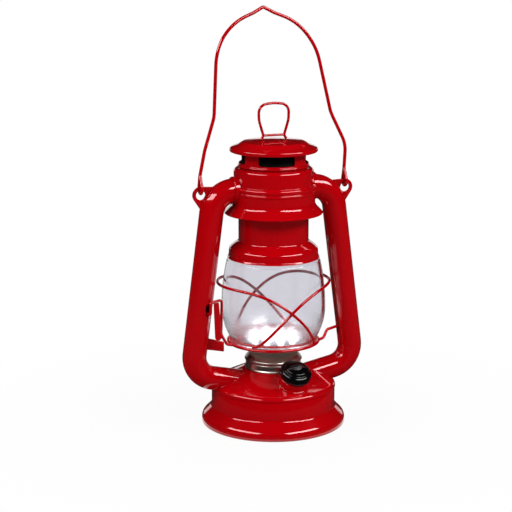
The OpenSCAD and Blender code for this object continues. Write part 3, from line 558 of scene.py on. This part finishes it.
# the side starts in the shaft's bore and the recess over the nut
knob = {"side": [(0, 8.4), (2.96, 8.4), (2.96, 2.6), (6.9, 2.6), (6.9, 0), (11.9, 0), (13, 1.4, 1),
                 (13, 7.45, 2.6), (9.62, 7.45, 0.6), (9.1, 9.4, 1.2), (4.94, 10.8, 6), (0, 10.8)],
        "ribs": 72, "ribDepth": 0.35, "ribLow": 0.3, "ribHigh": 4.7, "ribFromR": 11.8}
bm = bmesh.new()
spinInto(bm, outline(knob["side"], 6), knob["ribs"] * 4)
for v in bm.verts:
    r, z = hypot(v.co.x, v.co.y) / mm, v.co.z / mm
    if r > knob["ribFromR"] and knob["ribLow"] < z < knob["ribHigh"]:
        wave = 0.5 + 0.5 * cos(knob["ribs"] * atan2(v.co.y, v.co.x))
        v.co.x, v.co.y = (c * (1 - knob["ribDepth"] * wave / r) for c in v.co.xy)
stand = dimmerPlace @ Matrix.Translation((0, 0, dimmer["knobLow"] * mm))
bmesh.ops.transform(bm, matrix=stand, verts=bm.verts)
settle(finishMesh("dimmerKnob", bm, sharp=60), "knob", knobBlack, "dimmer_knob")
print("dimmer made")


# side tubes: bent, slotted for the guard's wires, and welded to the tank with a fine raised seam

tubes = {"d": 19.8, "wall": 0.8, "topX": 51.0, "topZ": 197.7, "lowX": 70.8, "lowZ": 45.25, "bends": (20, 19),
         "fall": 12.0, "endX": 27.1, "inX": 30.2, "cutLow": 10, "cutClear": 0.02,
         "seamD": 1.1, "seamSteps": 64, "seamSpan": (12.0, 46.0), "seamEnds": (0.6, 1.5)}


def tubeX(z):
    lean = (tubes["lowX"] - tubes["topX"]) / (tubes["topZ"] - tubes["lowZ"])
    return tubes["topX"] + (tubes["topZ"] - z) * lean


def tubePath(side):
    endZ = tubes["lowZ"] - (tubes["lowX"] - tubes["endX"]) * tan(radians(tubes["fall"]))
    ends = [("inX", tubes["topZ"]), ("topX", tubes["topZ"]), ("lowX", tubes["lowZ"]), ("endX", endZ)]
    return bentPath([(side * tubes[x], 0, z) for x, z in ends], tubes["bends"], 3)


def slotCutter(place, turn, reach=4.0, half=2.0, travel=6.0):
    r, high = half - 0.02, travel + half  # the slot's ends are all but full rounds
    loop = outline([(0, -half), (half, -half, r), (half, high, r), (-half, high, r), (-half, -half, r),
                    (0, -half)])
    stand = Matrix.Translation(Vector(place) * mm) @ Matrix.Rotation(turn + pi / 2, 4, "Z") \
        @ Matrix.Rotation(pi / 2, 4, "X")
    return plate("slotCutter", [loop[:-1]], 2 * reach, 0.0, stand)


guardZ = 69.7
liftRod = {"d": 2.4, "turn": 188, "kick": (-4.5, -1, 1.2), "kneeX": -0.8, "kneeZ": 11, "x": -47.8, "y": -9.5,
           "top": guardZ + 40, "fall": 1.0, "hookOver": 4.2, "hookY": -12.4, "hookZ": guardZ + 29,
           "hookEnd": 2.4, "bends": (4, 6, 2.4, 2.2, 2)}
liftRod["hookX"] = -tubeX(liftRod["top"]) + liftRod["hookOver"]
hookTurn = atan2(liftRod["hookY"], liftRod["hookX"] + tubeX(liftRod["hookZ"]))
hookOut = Vector((cos(hookTurn), sin(hookTurn), 0))
hookIn = Vector((-tubeX(liftRod["hookZ"]), 0, liftRod["hookZ"])) + hookOut * tubes["d"] / 2

guardArm = {"d": 2.4, "turn": -19.0, "z": guardZ + 7.2, "fromR": 38.5, "reach": 3.4, "slotBack": 3.5,
            "bends": (3, 3), "bendAt": [(0, guardZ), (5, guardZ + 0.4), (9.5, guardZ + 6.6)]}
armTurn = radians(guardArm["turn"])
armFrom = Vector((cos(armTurn), sin(armTurn), 0)) * guardArm["fromR"]
armTo = Vector((tubeX(guardArm["z"]) - tubes["d"] / 2 + guardArm["reach"], 0, 0))
armWay = (armTo - armFrom).normalized()

for side, name, node in ((-1, "leftTube", "left_tube"), (1, "rightTube", "right_tube")):
    tube = swept(name, tubePath(side), tubes["d"], 64, tubes["d"] - 2 * tubes["wall"])
    if side < 0:
        slot = slotCutter(hookIn, hookTurn)
    else:
        slotPlace = armTo - armWay * guardArm["slotBack"] + Vector((0, 0, guardArm["z"]))
        slot = slotCutter(slotPlace, atan2(armWay.y, armWay.x))
    under = [(r, z + tubes["cutClear"]) for r, z in outline(tank["top"])]
    core = [(0, tubes["cutLow"]), (0, under[0][1])] + under + [(under[-1][0], tubes["cutLow"])]
    cutAway(tube, [slot, spun("domeCutter", core)])
    settle(tube, "lantern", enamelRed, node)
    # seam where the lower arm meets the cone, found along lines on the tube's wall
    fall = radians(tubes["fall"])
    down, up = Vector((-side * cos(fall), 0, -sin(fall))), Vector((-side * sin(fall), 0, cos(fall)))
    corner = Vector((side * tubes["lowX"], 0, tubes["lowZ"]))
    seam = []
    for i in range(-tubes["seamSteps"], tubes["seamSteps"] + 1):
        a = pi * i / tubes["seamSteps"]
        wall = corner + (up * cos(a) + Vector((0, 1, 0)) * sin(a)) * tubes["d"] / 2
        near, far = tubes["seamSpan"]
        for halving in range(40):
            p = wall + down * (near + far) / 2
            r = hypot(p.x, p.y)
            if p.z > coneHeight(r) and r > coneIn[0]:
                near = (near + far) / 2
            else:
                far = (near + far) / 2
        p = wall + down * near
        if coneIn[0] + tubes["seamEnds"][0] < hypot(p.x, p.y) < coneOut[0] - tubes["seamEnds"][1]:
            seam.append(p)
    settle(swept(name + "Seam", seam, tubes["seamD"], 10), "lantern", enamelRed)
print("side tubes made")


# ears for the bail, set on the outside of the upper bends

ears = {"thick": 1.6, "edge": 0.35, "x": 62.32, "z": 195.25, "r": 6.9, "hole": 3.9, "bend": (33.43, 177.7),
        "bendR": 29.9, "sink": 0.4, "footUp": 6, "round": (94, -36), "rootTurn": 54}
for side, name, node in ((-1, "leftEar", "left_ear"), (1, "rightEar", "right_ear")):
    cx, cz = ears["bend"]
    sunk = ears["bendR"] - ears["sink"]
    low = (cx + sunk, cz + ears["footUp"])
    loop = arcPoints((ears["x"], ears["z"]), ears["r"], *ears["round"]) + [low]
    loop += arcPoints((cx, cz), sunk, degrees(atan2(low[1] - cz, low[0] - cx)), ears["rootTurn"])
    hole = arcPoints((ears["x"], ears["z"]), ears["hole"], 0, 354)  # stops a step short of its start
    place = Matrix.Scale(side, 4, (1, 0, 0)) @ Matrix.Rotation(pi / 2, 4, "X")
    settle(plate(name, [loop, hole], ears["thick"], ears["edge"], place), "lantern", enamelRed, node)

# bracket on the left tube that the lift rod's foot comes down beside

bracket = {"thick": 1.2, "edge": 0.3, "tipX": 43.2, "stand": 2}
rootX, tipX = tubeX(guardZ) - tubes["d"] / 2 - bracket["stand"], bracket["tipX"]
loop = outline([(-rootX - 3.5, guardZ + 6.7), (-rootX + 3, guardZ + 4.8, 8), (-tipX, guardZ + 1.8, 0.8),
                (-tipX, guardZ - 6.6, 0.8), (-rootX + 3, guardZ - 4.6, 12), (-rootX - 3.5, guardZ - 3.4)])
upright = Matrix.Rotation(pi / 2, 4, "X")
leverBracket = plate("leverBracket", [loop], bracket["thick"], bracket["edge"], upright)
settle(leverBracket, "lantern", enamelRed, "lever_bracket")


# hood with its bead, flange and the two sockets that take the tubes

hood = {"sheet": 0.8, "low": 177.9, "high": 215.1, "bead": 196.5, "r": 32.6, "flange": 40.5, "neck": 29.3,
        "socketR": 11.2, "socketX": 36.0, "socketIn": 31.9, "socketBore": 10.0}
r, bead, low = hood["r"], hood["bead"], hood["low"]
side = [(hood["neck"], hood["high"]), (r, hood["high"], 3), (r, bead + 4.8, 0.6), (r + 2, bead + 3.6, 1.8),
        (r + 2, bead + 1.4, 0.8), (r + 1.1, bead + 0.4, 0.6), (r + 2, bead - 0.5, 1),
        (r + 2, bead - 1.8, 1), (r + 1.4, bead - 2.8, 0.6), (r + 1.4, low + 7, 6), (hood["flange"], low)]
bm = bmesh.new()
spinInto(bm, sheetLoop(side, hood["sheet"]), 192)
bore, out, start, end = hood["socketBore"], hood["socketR"], hood["socketIn"], hood["socketX"]
socket = outline([(bore, start), (out, start), (out, end, 0.6), (bore, end, 0.3), (bore, start)])[:-1]
for turn in (pi / 2, -pi / 2):
    place = Matrix.Translation((0, 0, tubes["topZ"] * mm)) @ Matrix.Rotation(turn, 4, "Y")
    spinInto(bm, socket, 96, place)
settle(finishMesh("hood", bm), "lantern", enamelRed, "hood")
print("hood and ears made")


# globe: thick foot, full belly, drawn-in neck

globe = {"wall": 2.2, "foot": 33.5, "belly": 43.0, "neck": 35.2, "low": 69.5, "bellyZ": 98.7, "high": 148.0,
         "shoulder": 39.0, "shoulderZ": 136.6, "bore": 29.7, "footHigh": 2.4, "steps": 60}


def globeRadius(z):
    if z > globe["bellyZ"]:
        inset, rise = globe["belly"] - globe["shoulder"], globe["shoulderZ"] - globe["bellyZ"]
        h = z - globe["bellyZ"]
    else:
        inset, rise = globe["belly"] - globe["foot"], globe["bellyZ"] - globe["low"]
        h = globe["bellyZ"] - max(z, globe["low"])
    r = (inset ** 2 + rise ** 2) / (2 * inset)
    return globe["belly"] - r + sqrt(r * r - h * h)


neck, high, low = globe["neck"], globe["high"], globe["low"]
wall = outline([(neck, high - 0.5), (neck, high - 6.4, 2), (globe["shoulder"] - 0.6, high - 9.4, 2.6),
                (globe["shoulder"], globe["shoulderZ"])])
drop, steps = globe["shoulderZ"] - low - 0.8, globe["steps"]
heights = [globe["shoulderZ"] - drop * i / steps for i in range(1, steps + 1)]
wall += [(globeRadius(z), z) for z in heights]
inner = [p for p in beside(wall, globe["wall"])[::-1] if p[1] > low + 3.2]
foot = outline([wall[-1], (globe["foot"], low, 0.5), (globe["bore"], low, 0.8),
                (globe["bore"], low + globe["footHigh"], 0.8), inner[0]])[1:-1]
lip = globe["wall"] / 2
rim = arcPoints((neck - lip, high - lip), lip, 180, 0, 15)
glassGlobe = spun("glassGlobe", wall + foot + inner + rim, 192, sharp=70)
glassGlobe.visible_shadow = False  # lamplight passes into the globe and on to the wires behind it
settle(glassGlobe, "globe_carrier", sodaGlass, "globe")

globePlate = {"in": 27.5, "rimIn": 35.35, "rim": 36.15, "low": 68.6, "top": 69.4, "lip": 70.4}
low, top, lip = globePlate["low"], globePlate["top"], globePlate["lip"]
loop = outline([(globePlate["in"], low), (globePlate["in"], top), (globePlate["rimIn"], top, 0.2),
                (globePlate["rimIn"], lip), (globePlate["rim"], lip), (globePlate["rim"], low, 0.7),
                (globePlate["in"], low)])[:-1]
settle(spun("globePlate", loop), "globe_carrier", enamelRed, "globe_plate")

# wire guard: a ring under the globe and two slanting loops that cross at the front and the back

guard = {"d": 2.4, "ringR": 37.5, "ringSteps": 128, "gap": 1.9, "reach": 136.0, "rise": 48.0, "dip": 2.1,
         "air": 0.05, "bulge": 1.8, "bulgeFan": 36, "part": 1.35, "partAt": 90, "partFan": 26.0, "drawIn": 20,
         "steps": 80, "spread": 0.85}
turns = [2 * pi * i / guard["ringSteps"] for i in range(guard["ringSteps"])]
ringPoints = [Vector((guard["ringR"] * cos(a), guard["ringR"] * sin(a), guardZ)) for a in turns]
guardRing = swept("guardRing", ringPoints, guard["d"], 16, closed=True)
settle(guardRing, "globe_carrier", enamelRed, "guard_ring")
loopLow = guardZ + guard["d"] + guard["air"]
loops = ((-1, "leftGuardLoop", "left_guard_loop"), (1, "rightGuardLoop", "right_guard_loop"))
for side, name, node in loops:
    points = []
    for i in range(-guard["steps"], guard["steps"] + 1):
        turn = guard["reach"] * (1 if i > 0 else -1) * (abs(i) / guard["steps"]) ** guard["spread"]
        t = abs(turn) / guard["reach"]
        z = loopLow + guard["rise"] * (1 + cos(pi * t ** guard["dip"])) / 2
        r = globeRadius(z) + guard["gap"] + guard["d"] / 2
        r += guard["bulge"] * exp(-(turn / guard["bulgeFan"]) ** 2)
        r += (guard["ringR"] - r) * t ** guard["drawIn"]  # the ends draw in to the ring
        r -= side * guard["part"] * exp(-((abs(turn) - guard["partAt"]) / guard["partFan"]) ** 2)
        points.append(Vector((side * r * cos(radians(turn)), r * sin(radians(turn)), z)))
    settle(swept(name, points, guard["d"], 16), "globe_carrier", enamelRed, node)

armPoints = [armFrom + armWay * s + Vector((0, 0, z)) for s, z in guardArm["bendAt"]]
armPoints.append(armTo + Vector((0, 0, guardArm["z"])))
armWire = swept("guardArm", bentPath(armPoints, guardArm["bends"]), guardArm["d"])
settle(armWire, "globe_carrier", enamelRed, "guard_arm")

# lift rod: from the ring out to the left, up, and over to a hook in the tube's slot

rodTurn = radians(liftRod["turn"])
start = Vector((cos(rodTurn), sin(rodTurn), 0)) * guardArm["fromR"] + Vector((0, 0, guardZ))
x, y, hookX, hookY = liftRod["x"], liftRod["y"], liftRod["hookX"], liftRod["hookY"]
rodPoints = [start, start + Vector(liftRod["kick"]), (x + liftRod["kneeX"], y, guardZ + liftRod["kneeZ"]),
             (x, y, liftRod["top"]), (hookX, hookY, liftRod["top"] - liftRod["fall"]),
             (hookX, hookY, liftRod["hookZ"]), hookIn - hookOut * liftRod["hookEnd"]]
rodWire = swept("liftRod", bentPath(rodPoints, liftRod["bends"]), liftRod["d"])
settle(rodWire, "globe_carrier", enamelRed, "lift_rod")

tongue = {"thick": 1.6, "edge": 0.5, "half": 2.8, "taper": 0.6, "aside": 0.3, "front": 2.1, "under": 1.3,
          "lowX": x - 3.8, "lowZ": guardZ + 9.5}
topX = (x + hookX) / 2 + tongue["aside"]
tops = [(tx, liftRod["top"] - liftRod["fall"] * (x - tx) / (x - hookX) - tongue["under"])
        for tx in (topX - tongue["half"], topX + tongue["half"] * tongue["taper"])]
loop = [tops[0]] + arcPoints((tongue["lowX"], tongue["lowZ"]), tongue["half"], -180, 0) + [tops[1]]
place = Matrix.Translation((0, (y - tongue["front"]) * mm, 0)) @ upright
liftTongue = plate("liftTongue", [loop], tongue["thick"], tongue["edge"], place)
settle(liftTongue, "globe_carrier", enamelRed, "lift_tongue")
print("globe and guard made")


# chimney: bell and neck, slotted vent collar, flue, cap and the loop that lifts it

bell = {"sheet": 0.8, "z": 148.3, "r": 36.6, "neck": 28.8, "high": 214.7}
r, z = bell["r"], bell["z"]
side = [(bell["neck"], bell["high"]), (bell["neck"], z + 6.2, 2), (r - 2.4, z + 2.2, 2), (r, z, 3.2),
        (r + 0.3, z - 6, 1.2), (r + 1.2, z - 7.2, 0.6), (r + 1.2, z - 7.6)]
settle(spun("bell", sheetLoop(side, bell["sheet"])), "chimney", enamelRed, "bell")

vent = {"sheet": 0.8, "r": 28.4, "ridge": 29.8, "spigot": 27.9, "top": 233.2, "hood": 215.1, "slots": 4,
        "slotW": 29.0, "slotH": 8.4, "slotUp": 4, "slotR": 2, "turn": -14.0, "cutAt": 30, "cutLong": 40}
side = [(vent["r"], vent["top"]), (vent["r"], vent["hood"] + 3, 0.8),
        (vent["ridge"], vent["hood"] + 1.6, 1), (vent["spigot"], vent["hood"] + 0.3, 0.5),
        (vent["spigot"], vent["hood"] - 9)]
ventCollar = spun("ventCollar", sheetLoop(side, vent["sheet"]))
half, h, r = vent["slotW"] / 2, vent["slotH"], vent["slotR"]
loop = outline([(0, 0), (half, 0, r), (half, h, r), (-half, h, r), (-half, 0, r), (0, 0)])[:-1]
cutters = []
for i in range(vent["slots"]):
    stand = Matrix.Rotation(radians(vent["turn"] + 360 / vent["slots"] * i), 4, "Z") \
        @ Matrix.Translation((0, -vent["cutAt"] * mm, (vent["hood"] + vent["slotUp"]) * mm)) @ upright
    cutters.append(plate("ventCutter", [loop], vent["cutLong"], 0.0, stand))
cutAway(ventCollar, cutters)
settle(ventCollar, "chimney", enamelRed, "vent_collar")

flue = {"sheet": 0.6, "side": [(26.2, 231.2), (26.2, 207.7, 0.8), (27.0, 207.1)]}
# the flue's near black is painted shade for the dark inside the chimney
settle(spun("flue", sheetLoop(flue["side"], flue["sheet"])), "chimney", flueShadePaint, "flue")

cap = {"sheet": 0.8, "z": 228.0, "high": 9.5, "r": 35.9}
r, z, top = cap["r"], cap["z"], cap["z"] + cap["high"]
side = [(0, top), (6, top), (r - 10.1, top - 1.3, 5), (r - 6.1, top - 4.1, 4), (r, z + 3.2, 1.5),
        (r, z, 1.2), (r - 2.2, z)]
settle(spun("cap", sheetLoop(side, cap["sheet"])), "chimney", enamelRed, "cap")

lifter = {"d": 2.2, "barD": 2.0, "foot": 237.9, "high": 29.4, "w": 25.4, "leg": 8.9, "splay": 1.8, "bar": 3.2,
          "belly": 0.42, "flare": 0.2, "crown": 1.6, "bends": (2, 20, 7, 30, 7, 20, 2)}
leg, half, foot = lifter["leg"], lifter["w"] / 2, lifter["foot"]
barZ, highZ = foot + lifter["bar"], foot + lifter["high"]
halfLoop = [(leg + lifter["splay"], foot), (leg, barZ), (half, barZ + lifter["high"] * lifter["belly"]),
            (half + lifter["flare"], highZ - lifter["crown"])]
corners = [(-x, 0, z) for x, z in halfLoop] + [(0, 0, highZ)] + [(x, 0, z) for x, z in halfLoop[::-1]]
bm = bmesh.new()
sweepInto(bm, bentPath(corners, lifter["bends"]), lifter["d"])
sweepInto(bm, [Vector((x, 0, barZ)) for x in (-leg, 0, leg)], lifter["barD"])
settle(finishMesh("lifterLoop", bm, wireCrease), "chimney", enamelRed, "lifter_loop")
print("chimney made")


# bail: legs that draw in to a pinched peak, with an eye round each ear; each bend is a share of
# the half width, then its height and radius as shares of the height

bail = {"d": 2.8, "w": 62.32, "high": 143.4, "lean": 8.0, "pivotZ": 200.65, "eyeR": 4.0, "eyeH": 10.0,
        "setLow": 3.6, "setTop": -2.2, "peakR": 2, "eyeSteps": 40,
        "bends": [(0.978, 0.209, 0.167), (0.807, 0.394, 0.195), (0.692, 0.76, 0.349), (0.47, 0.911, 0.314),
                  (0.144, 0.967, 0.125)]}


def bailSet(v):  # sideways set of the wire at a height above the pivot
    low = bail["bends"][0][1] * bail["high"]
    if v < low:
        return bail["setLow"] * max(v - bail["eyeH"], 0) / (low - bail["eyeH"])
    return bail["setLow"] + (bail["setTop"] - bail["setLow"]) * (v - low) / (bail["high"] - low)


legs = []
for side in (-1, 1):
    heights = [(across * bail["w"], up * bail["high"]) for across, up, bend in bail["bends"]]
    legs.append([(side * bail["w"], 0, bail["eyeH"])] + [(side * a + bailSet(v), 0, v) for a, v in heights])
radii = [bend * bail["high"] for across, up, bend in bail["bends"]]
corners = legs[0] + [(bail["setTop"], 0, bail["high"])] + legs[1][::-1]
bm = bmesh.new()
sweepInto(bm, bentPath(corners, radii + [bail["peakR"]] + radii[::-1], 3), bail["d"])
eyeAngle = acos(bail["eyeR"] / bail["eyeH"])
for side in (-1, 1):
    eye = [Vector((side * bail["w"], 0, bail["eyeH"]))]
    for i in range(bail["eyeSteps"] + 1):
        a = pi / 2 + eyeAngle + (2 * pi - 2 * eyeAngle) * i / bail["eyeSteps"]
        eye.append(Vector((side * bail["w"], bail["eyeR"] * cos(a), bail["eyeR"] * sin(a))))
    sweepInto(bm, eye + [eye[0].copy()], bail["d"])
stand = Matrix.Translation((0, 0, bail["pivotZ"] * mm)) @ Matrix.Rotation(radians(-bail["lean"]), 4, "X")
bmesh.ops.transform(bm, matrix=stand, verts=bm.verts)
settle(finishMesh("bail", bm, wireCrease), "bail", enamelRed, "bail")
print("bail made")


# pieces kept as they were drawn take their finishes

kept = {"floor_plate": mouldedAbs, "battery_cover": mouldedAbs, "battery_tray": mouldedAbs,
        "dimmer_pot": mouldedAbs, "front_cell": cellFoil, "rear_cell": cellFoil,
        "bridge_contact": nickelPlate, "positive_contact": nickelPlate, "negative_contact": nickelPlate,
        "dimmer_nut": nickelPlate, "dimmer_shaft": nickelPlate, "led_board": boardWhite}
for node, finish in kept.items():
    nodes[node].data.materials.clear()
    nodes[node].data.materials.append(finish)
print("solids dressed")


# studio, in metres: a pale floor, white surroundings, a wide softbox on either side of the camera
# and one behind; each box has its turn from the camera, its rise, its distance and its power

studio = {"floor": "#c8c8c8", "floorHalf": 4.0, "floorDrop": 0.0003, "fill": 0.18, "white": 0.94,
          "fadeFrom": 0.08, "fadeTo": 0.3, "aimZ": 0.13, "boxSize": (1.5, 0.42),
          "boxes": [(-56, 40, 1.55, 17.0), (56, 40, 1.55, 24.0), (178, 52, 1.55, 5.0)]}


def shownWhite(tree):  # 1 for what the camera sees directly, through glass or in metal
    path = addNode(tree, "ShaderNodeLightPath", {}, {})
    shown = path.outputs["Is Camera Ray"]
    for ray in ("Is Transmission Ray", "Is Glossy Ray"):
        either = addNode(tree, "ShaderNodeMath", {"operation": "MAXIMUM"}, {0: shown, 1: path.outputs[ray]})
        shown = either.outputs["Value"]
    return shown


bm = bmesh.new()
bmesh.ops.create_grid(bm, x_segments=1, y_segments=1, size=studio["floorHalf"])
floor = finishMesh("floor", bm)
floor.location.z = -studio["floorDrop"]
floorPaint, tree, shader = startFinish("paleFloorPaint", {
    "Base Color": hexToLinear(studio["floor"]), "Roughness": 0.9})
where = addNode(tree, "ShaderNodeTexCoord", {}, {})
far = addNode(tree, "ShaderNodeVectorMath", {"operation": "LENGTH"}, {0: where.outputs["Object"]})
white = addNode(tree, "ShaderNodeMapRange", {"From Min": studio["fadeFrom"], "From Max": studio["fadeTo"],
                                             "To Min": studio["white"], "To Max": 1.0},
                {"Value": far.outputs["Value"]})
part = addNode(tree, "ShaderNodeMath", {"operation": "MULTIPLY"},
               {0: shownWhite(tree), 1: white.outputs["Result"]})
glow = addNode(tree, "ShaderNodeEmission", {"Color": (1, 1, 1, 1), "Strength": 1.0}, {})
both = addNode(tree, "ShaderNodeMixShader", {},
               {0: part.outputs["Value"], 1: shader.outputs["BSDF"], 2: glow.outputs["Emission"]})
tree.links.new(both.outputs["Shader"], tree.nodes["Material Output"].inputs["Surface"])
floor.data.materials.append(floorPaint)

# black flags, seen in reflections alone: a cloth on the floor, a ceiling, and a wall on the
# camera's side, so that the only white left is a low band behind the lantern
flags = {"colour": "#101010", "clothIn": 0.066, "clothOut": 3.6, "clothZ": (0.0004, 0.0005), "ceilingR": 3.4,
         "ceilingLow": 9, "ceilingSteps": 12, "ceilingThick": 1.01, "wallHalf": 150, "wallSteps": 40,
         "wallLow": 0.001, "wallOver": 1}
flagCloth, tree, shader = startFinish("blackFlagCloth", {
    "Base Color": hexToLinear(flags["colour"]), "Roughness": 1.0})
cameraTurn = atan2(view["place"][1], view["place"][0])
bm = bmesh.new()
near, far, (under, over) = flags["clothIn"], flags["clothOut"], flags["clothZ"]
cloth = [(near, under), (far, under), (far, over), (near, over)]
spinInto(bm, [(r / mm, z / mm) for r, z in cloth], 64)
away, low, steps = flags["ceilingR"], flags["ceilingLow"], flags["ceilingSteps"]
angles = [radians(low + (90 - low) * i / steps) for i in range(steps)]
ceiling = [(away * cos(a), away * sin(a)) for a in angles] + [(0, away)]
ceiling += [(r * flags["ceilingThick"], z * flags["ceilingThick"]) for r, z in ceiling[::-1]]
spinInto(bm, [(r / mm, z / mm) for r, z in ceiling], 48)
wallEnds = (flags["wallLow"], away * sin(radians(low + flags["wallOver"])))
steps = flags["wallSteps"]
turns = [cameraTurn + radians(flags["wallHalf"] * (2 * i / steps - 1)) for i in range(steps + 1)]
wall = [[bm.verts.new((away * cos(a), away * sin(a), z)) for z in wallEnds] for a in turns]
for near, far in zip(wall, wall[1:]):
    bm.faces.new((near[0], far[0], far[1], near[1]))
flag = finishMesh("flags", bm)
flag.data.materials.append(flagCloth)
flag.visible_camera = flag.visible_diffuse = flag.visible_transmission = flag.visible_shadow = False

aim = Vector((0, 0, studio["aimZ"]))
for i, (turn, rise, distance, power) in enumerate(studio["boxes"]):
    light = bpy.data.lights.new("softbox" + str(i), "AREA")
    light.shape, light.energy = "RECTANGLE", power
    light.size, light.size_y = studio["boxSize"]
    box = bpy.data.objects.new("softbox" + str(i), light)
    a, e = cameraTurn + radians(turn), radians(rise)
    box.location = aim + Vector((cos(a) * cos(e), sin(a) * cos(e), sin(e))) * distance
    box.rotation_euler = (aim - box.location).to_track_quat("-Z", "Y").to_euler()
    box.visible_glossy = abs(turn) < 90  # the box behind stays out of reflections
    bpy.context.scene.collection.objects.link(box)

world = bpy.data.worlds.new("studio")
world.use_nodes = True
bpy.context.scene.world = world
tree = world.node_tree
level = addNode(tree, "ShaderNodeMapRange", {"To Min": studio["fill"], "To Max": 1.0},
                {"Value": shownWhite(tree)})
tree.links.new(level.outputs["Result"], tree.nodes["Background"].inputs["Strength"])
tree.nodes["Background"].inputs["Color"].default_value = (1, 1, 1, 1)

bpy.context.scene.view_settings.view_transform = "Standard"
print("studio lit")
